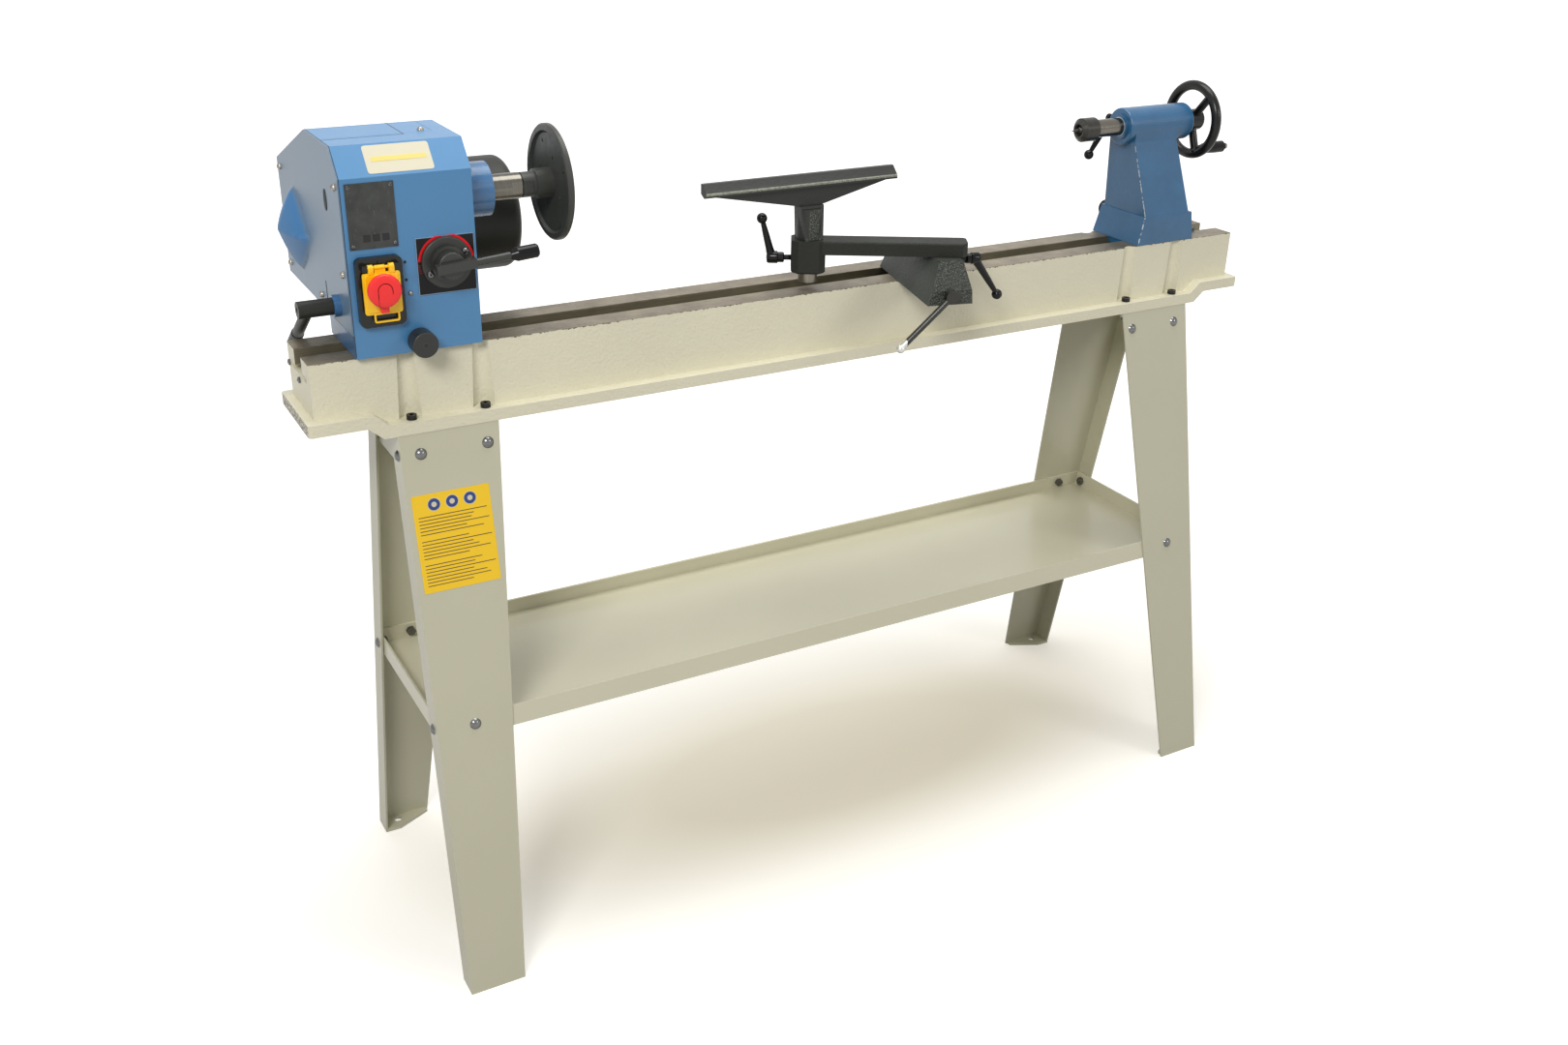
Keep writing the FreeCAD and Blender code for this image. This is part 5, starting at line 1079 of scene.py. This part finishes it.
def build_switch():
    """The red cap with a darker red arch painted as the shade of its groove, its tab, the flap, and the switch
    box's screw.
    """
    low, high = corners("stop_mushroom")
    centre = Vector(((low.x + high.x) / 2, low.y, (low.z + high.z) / 2))
    base = high.y
    radius = (high.x - low.x) / 2
    cap = Shape()
    cap.turned(Vector((centre.x, base, centre.z)), -Y,
               [(0, 0.014), (0.004, 0.0142), (0.0075, 0.0175), (0.0085, radius - 0.0008),
                (0.0095, radius), (0.0128, radius), (0.0146, radius - 0.0012),
                (0.0156, radius - 0.0040), (0.0160, radius - 0.0080), (0.0160, 0.0)], 72)
    cap.finish("stop_cap", signal_red, "emergency_flap", "red_plastic", stands_for=("stop_mushroom",))
    # The groove is not cut: a thin darker red arch on the cap's face is painted shade.
    front = low.y + 0.0001
    arch_radius = 0.0095
    crown = centre.z + 0.001
    outer = [(-arch_radius, centre.z - 0.0185), (-arch_radius, crown)]
    for k in range(15):
        turn = math.pi * (1 - k / 14)
        outer.append((arch_radius * math.cos(turn), crown + arch_radius * math.sin(turn)))
    outer.append((arch_radius, centre.z - 0.004))
    inner = [(x * 0.90, z if z < centre.z else crown + (z - crown) * 0.90) for x, z in outer]
    arch = Shape()
    for k in range(len(outer) - 1):
        band = (outer[k], outer[k + 1], inner[k + 1], inner[k])
        arch.prism([Vector((centre.x + x, front, z)) for x, z in band], -Y * 0.0001)
    arch.finish("stop_cap_groove", groove_shade_red, "emergency_flap", "red_plastic")
    tab = Shape()
    foot = Vector((centre.x - 0.0052, base - 0.0075, low.z - 0.0085))
    tab.prism([foot, foot + X * 0.0104, foot + X * 0.0104 + Z * 0.012, foot + Z * 0.012], Y * 0.0055)
    tab.finish("stop_cap_tab", signal_red, "emergency_flap", "red_plastic", edge=0.0008)
    build_flap()
    small_screw("box_screw", Vector((-0.6788, -0.0730, 1.0284)), -Y, 0.0026, "headstock", socket_black)


def build_banjo_details():
    """Small collar disc on the cam shaft's front end."""
    along = joint_axis("cam_turn")
    collar = Shape()
    collar.turned(joint_place("cam_turn") - along * 0.0037, -along,
                  [(0, 0.0098), (0.0006, 0.0098), (0.0010, 0.0088)], 44)
    collar.finish("cam_shaft_end", dark_steel, "cam_handle", "machined_steel")


# ---- studio ----------------------------------------------------------------
def build_studio():
    """White surroundings, a floor with a painted shadow under the stand, and three soft lights."""
    scene = bpy.context.scene
    scene.view_settings.view_transform = "Standard"
    world = bpy.data.worlds.new("pale_studio")
    scene.world = world
    world.use_nodes = True
    world.node_tree.nodes.clear()
    white = (1.0, 1.0, 1.0, 1.0)
    room_glow = (1.0, 0.985, 0.96, 1.0)
    work = Tree(world.node_tree)
    rays = work.add("ShaderNodeLightPath").outputs
    seen = work.most(rays["Is Camera Ray"], rays["Is Glossy Ray"], rays["Is Transmission Ray"])
    dim = work.add("ShaderNodeBackground", {"Color": room_glow, "Strength": 0.27})
    bright = work.add("ShaderNodeBackground", {"Color": white, "Strength": 1.0})
    mix = work.add("ShaderNodeMixShader", {0: seen, 1: dim.outputs[0], 2: bright.outputs[0]})
    work.add("ShaderNodeOutputWorld", {"Surface": mix.outputs[0]})

    half = 30.0
    floor = bpy.data.meshes.new("studio_floor")
    floor.from_pydata([(-half, -half, 0), (half, -half, 0), (half, half, 0), (-half, half, 0)], [],
                      [(0, 1, 2, 3)])
    ground = bpy.data.objects.new("studio_floor", floor)
    scene.collection.objects.link(ground)
    paint = bpy.data.materials.new("studio_floor")
    paint.use_nodes = True
    work = Tree(paint.node_tree)
    shader = paint.node_tree.nodes["Principled BSDF"]
    shader.inputs["Roughness"].default_value = 0.9
    rays = work.add("ShaderNodeLightPath").outputs
    place = work.add("ShaderNodeTexCoord").outputs["Object"]
    # The floor's emission drops in a soft oval under the stand: a painted shadow in a warm tone, fading to the lit
    # tone round it and to white further out.
    shade_middle, shade_reach = (0.08, 0.05, 0.0), (1.1, 0.48, 1.0)
    painted_shadow_tone, round_stand = (0.24, 0.205, 0.12, 1.0), (0.62, 0.62, 0.62, 1.0)
    from_middle = work.vector("SUBTRACT", place, shade_middle)[0]
    away = work.length(work.vector("DIVIDE", from_middle, shade_reach)[0])
    near = work.blend(work.ramp(away, 0.3, 1.0), painted_shadow_tone, round_stand)
    tone = work.blend(work.ramp(work.length(place), 1.5, 3.0), near, white)
    bounced, direct = (0.42, 0.41, 0.39, 1.0), (0.68, 0.67, 0.64, 1.0)
    work.send(shader, Emission_Color=tone,
              Emission_Strength=work.most(rays["Is Camera Ray"], rays["Is Glossy Ray"]),
              Base_Color=work.blend(rays["Is Camera Ray"], bounced, direct))
    floor.materials.append(paint)

    def lamp(name, place, target, size_x, size_y, power, tint):
        """A rectangular light aimed at a place on the lathe; its power is in watts."""
        data = bpy.data.lights.new(name, "AREA")
        data.shape = "RECTANGLE"
        data.size = size_x
        data.size_y = size_y
        data.energy = power
        data.color = tint
        light = bpy.data.objects.new(name, data)
        scene.collection.objects.link(light)
        light.location = place
        light.rotation_euler = (Vector(target) - Vector(place)).to_track_quat("-Z", "Y").to_euler()

    lamp("key_softbox", (-2.6, -2.6, 3.4), (0.0, 0.0, 0.7), 1.4, 1.2, 102.0, (1.0, 0.98, 0.95))
    lamp("fill_softbox", (2.4, -3.4, 2.6), (0.2, 0.0, 0.6), 1.3, 1.1, 28.0, (1.0, 0.98, 0.96))
    lamp("top_softbox", (0.2, 0.3, 4.0), (0.0, 0.0, 0.8), 3.0, 1.8, 84.0, (1.0, 0.99, 0.97))


def build_camera():
    """The view from the front left, a little above the headstock."""
    place = Vector((-1.1474, -1.8975, 1.5415))
    data = bpy.data.cameras.new("camera")
    data.sensor_width = 36.0
    data.lens = 34.87
    data.clip_end = 100.0
    camera = bpy.data.objects.new("camera", data)
    bpy.context.scene.collection.objects.link(camera)
    yaw = math.radians(29.89)
    pitch = math.radians(-25.17)
    roll = math.radians(1.26)
    forward = Vector((math.sin(yaw) * math.cos(pitch), math.cos(yaw) * math.cos(pitch), math.sin(pitch)))
    right = Vector((math.cos(yaw), -math.sin(yaw), 0))
    up = right.cross(forward)
    turned_right = right * math.cos(roll) + up * math.sin(roll)
    turned_up = up * math.cos(roll) - right * math.sin(roll)
    turn = Matrix((turned_right, turned_up, -forward)).transposed()
    camera.matrix_world = Matrix.Translation(place) @ turn.to_4x4()
    bpy.context.scene.camera = camera


dress_cad_nodes()
build_lock_levers()
build_end_cover()
build_head_seams()
build_name_plate()
build_labels()
build_dial()
build_switch()
build_banjo_details()
build_bed_end()
build_studio()
build_camera()
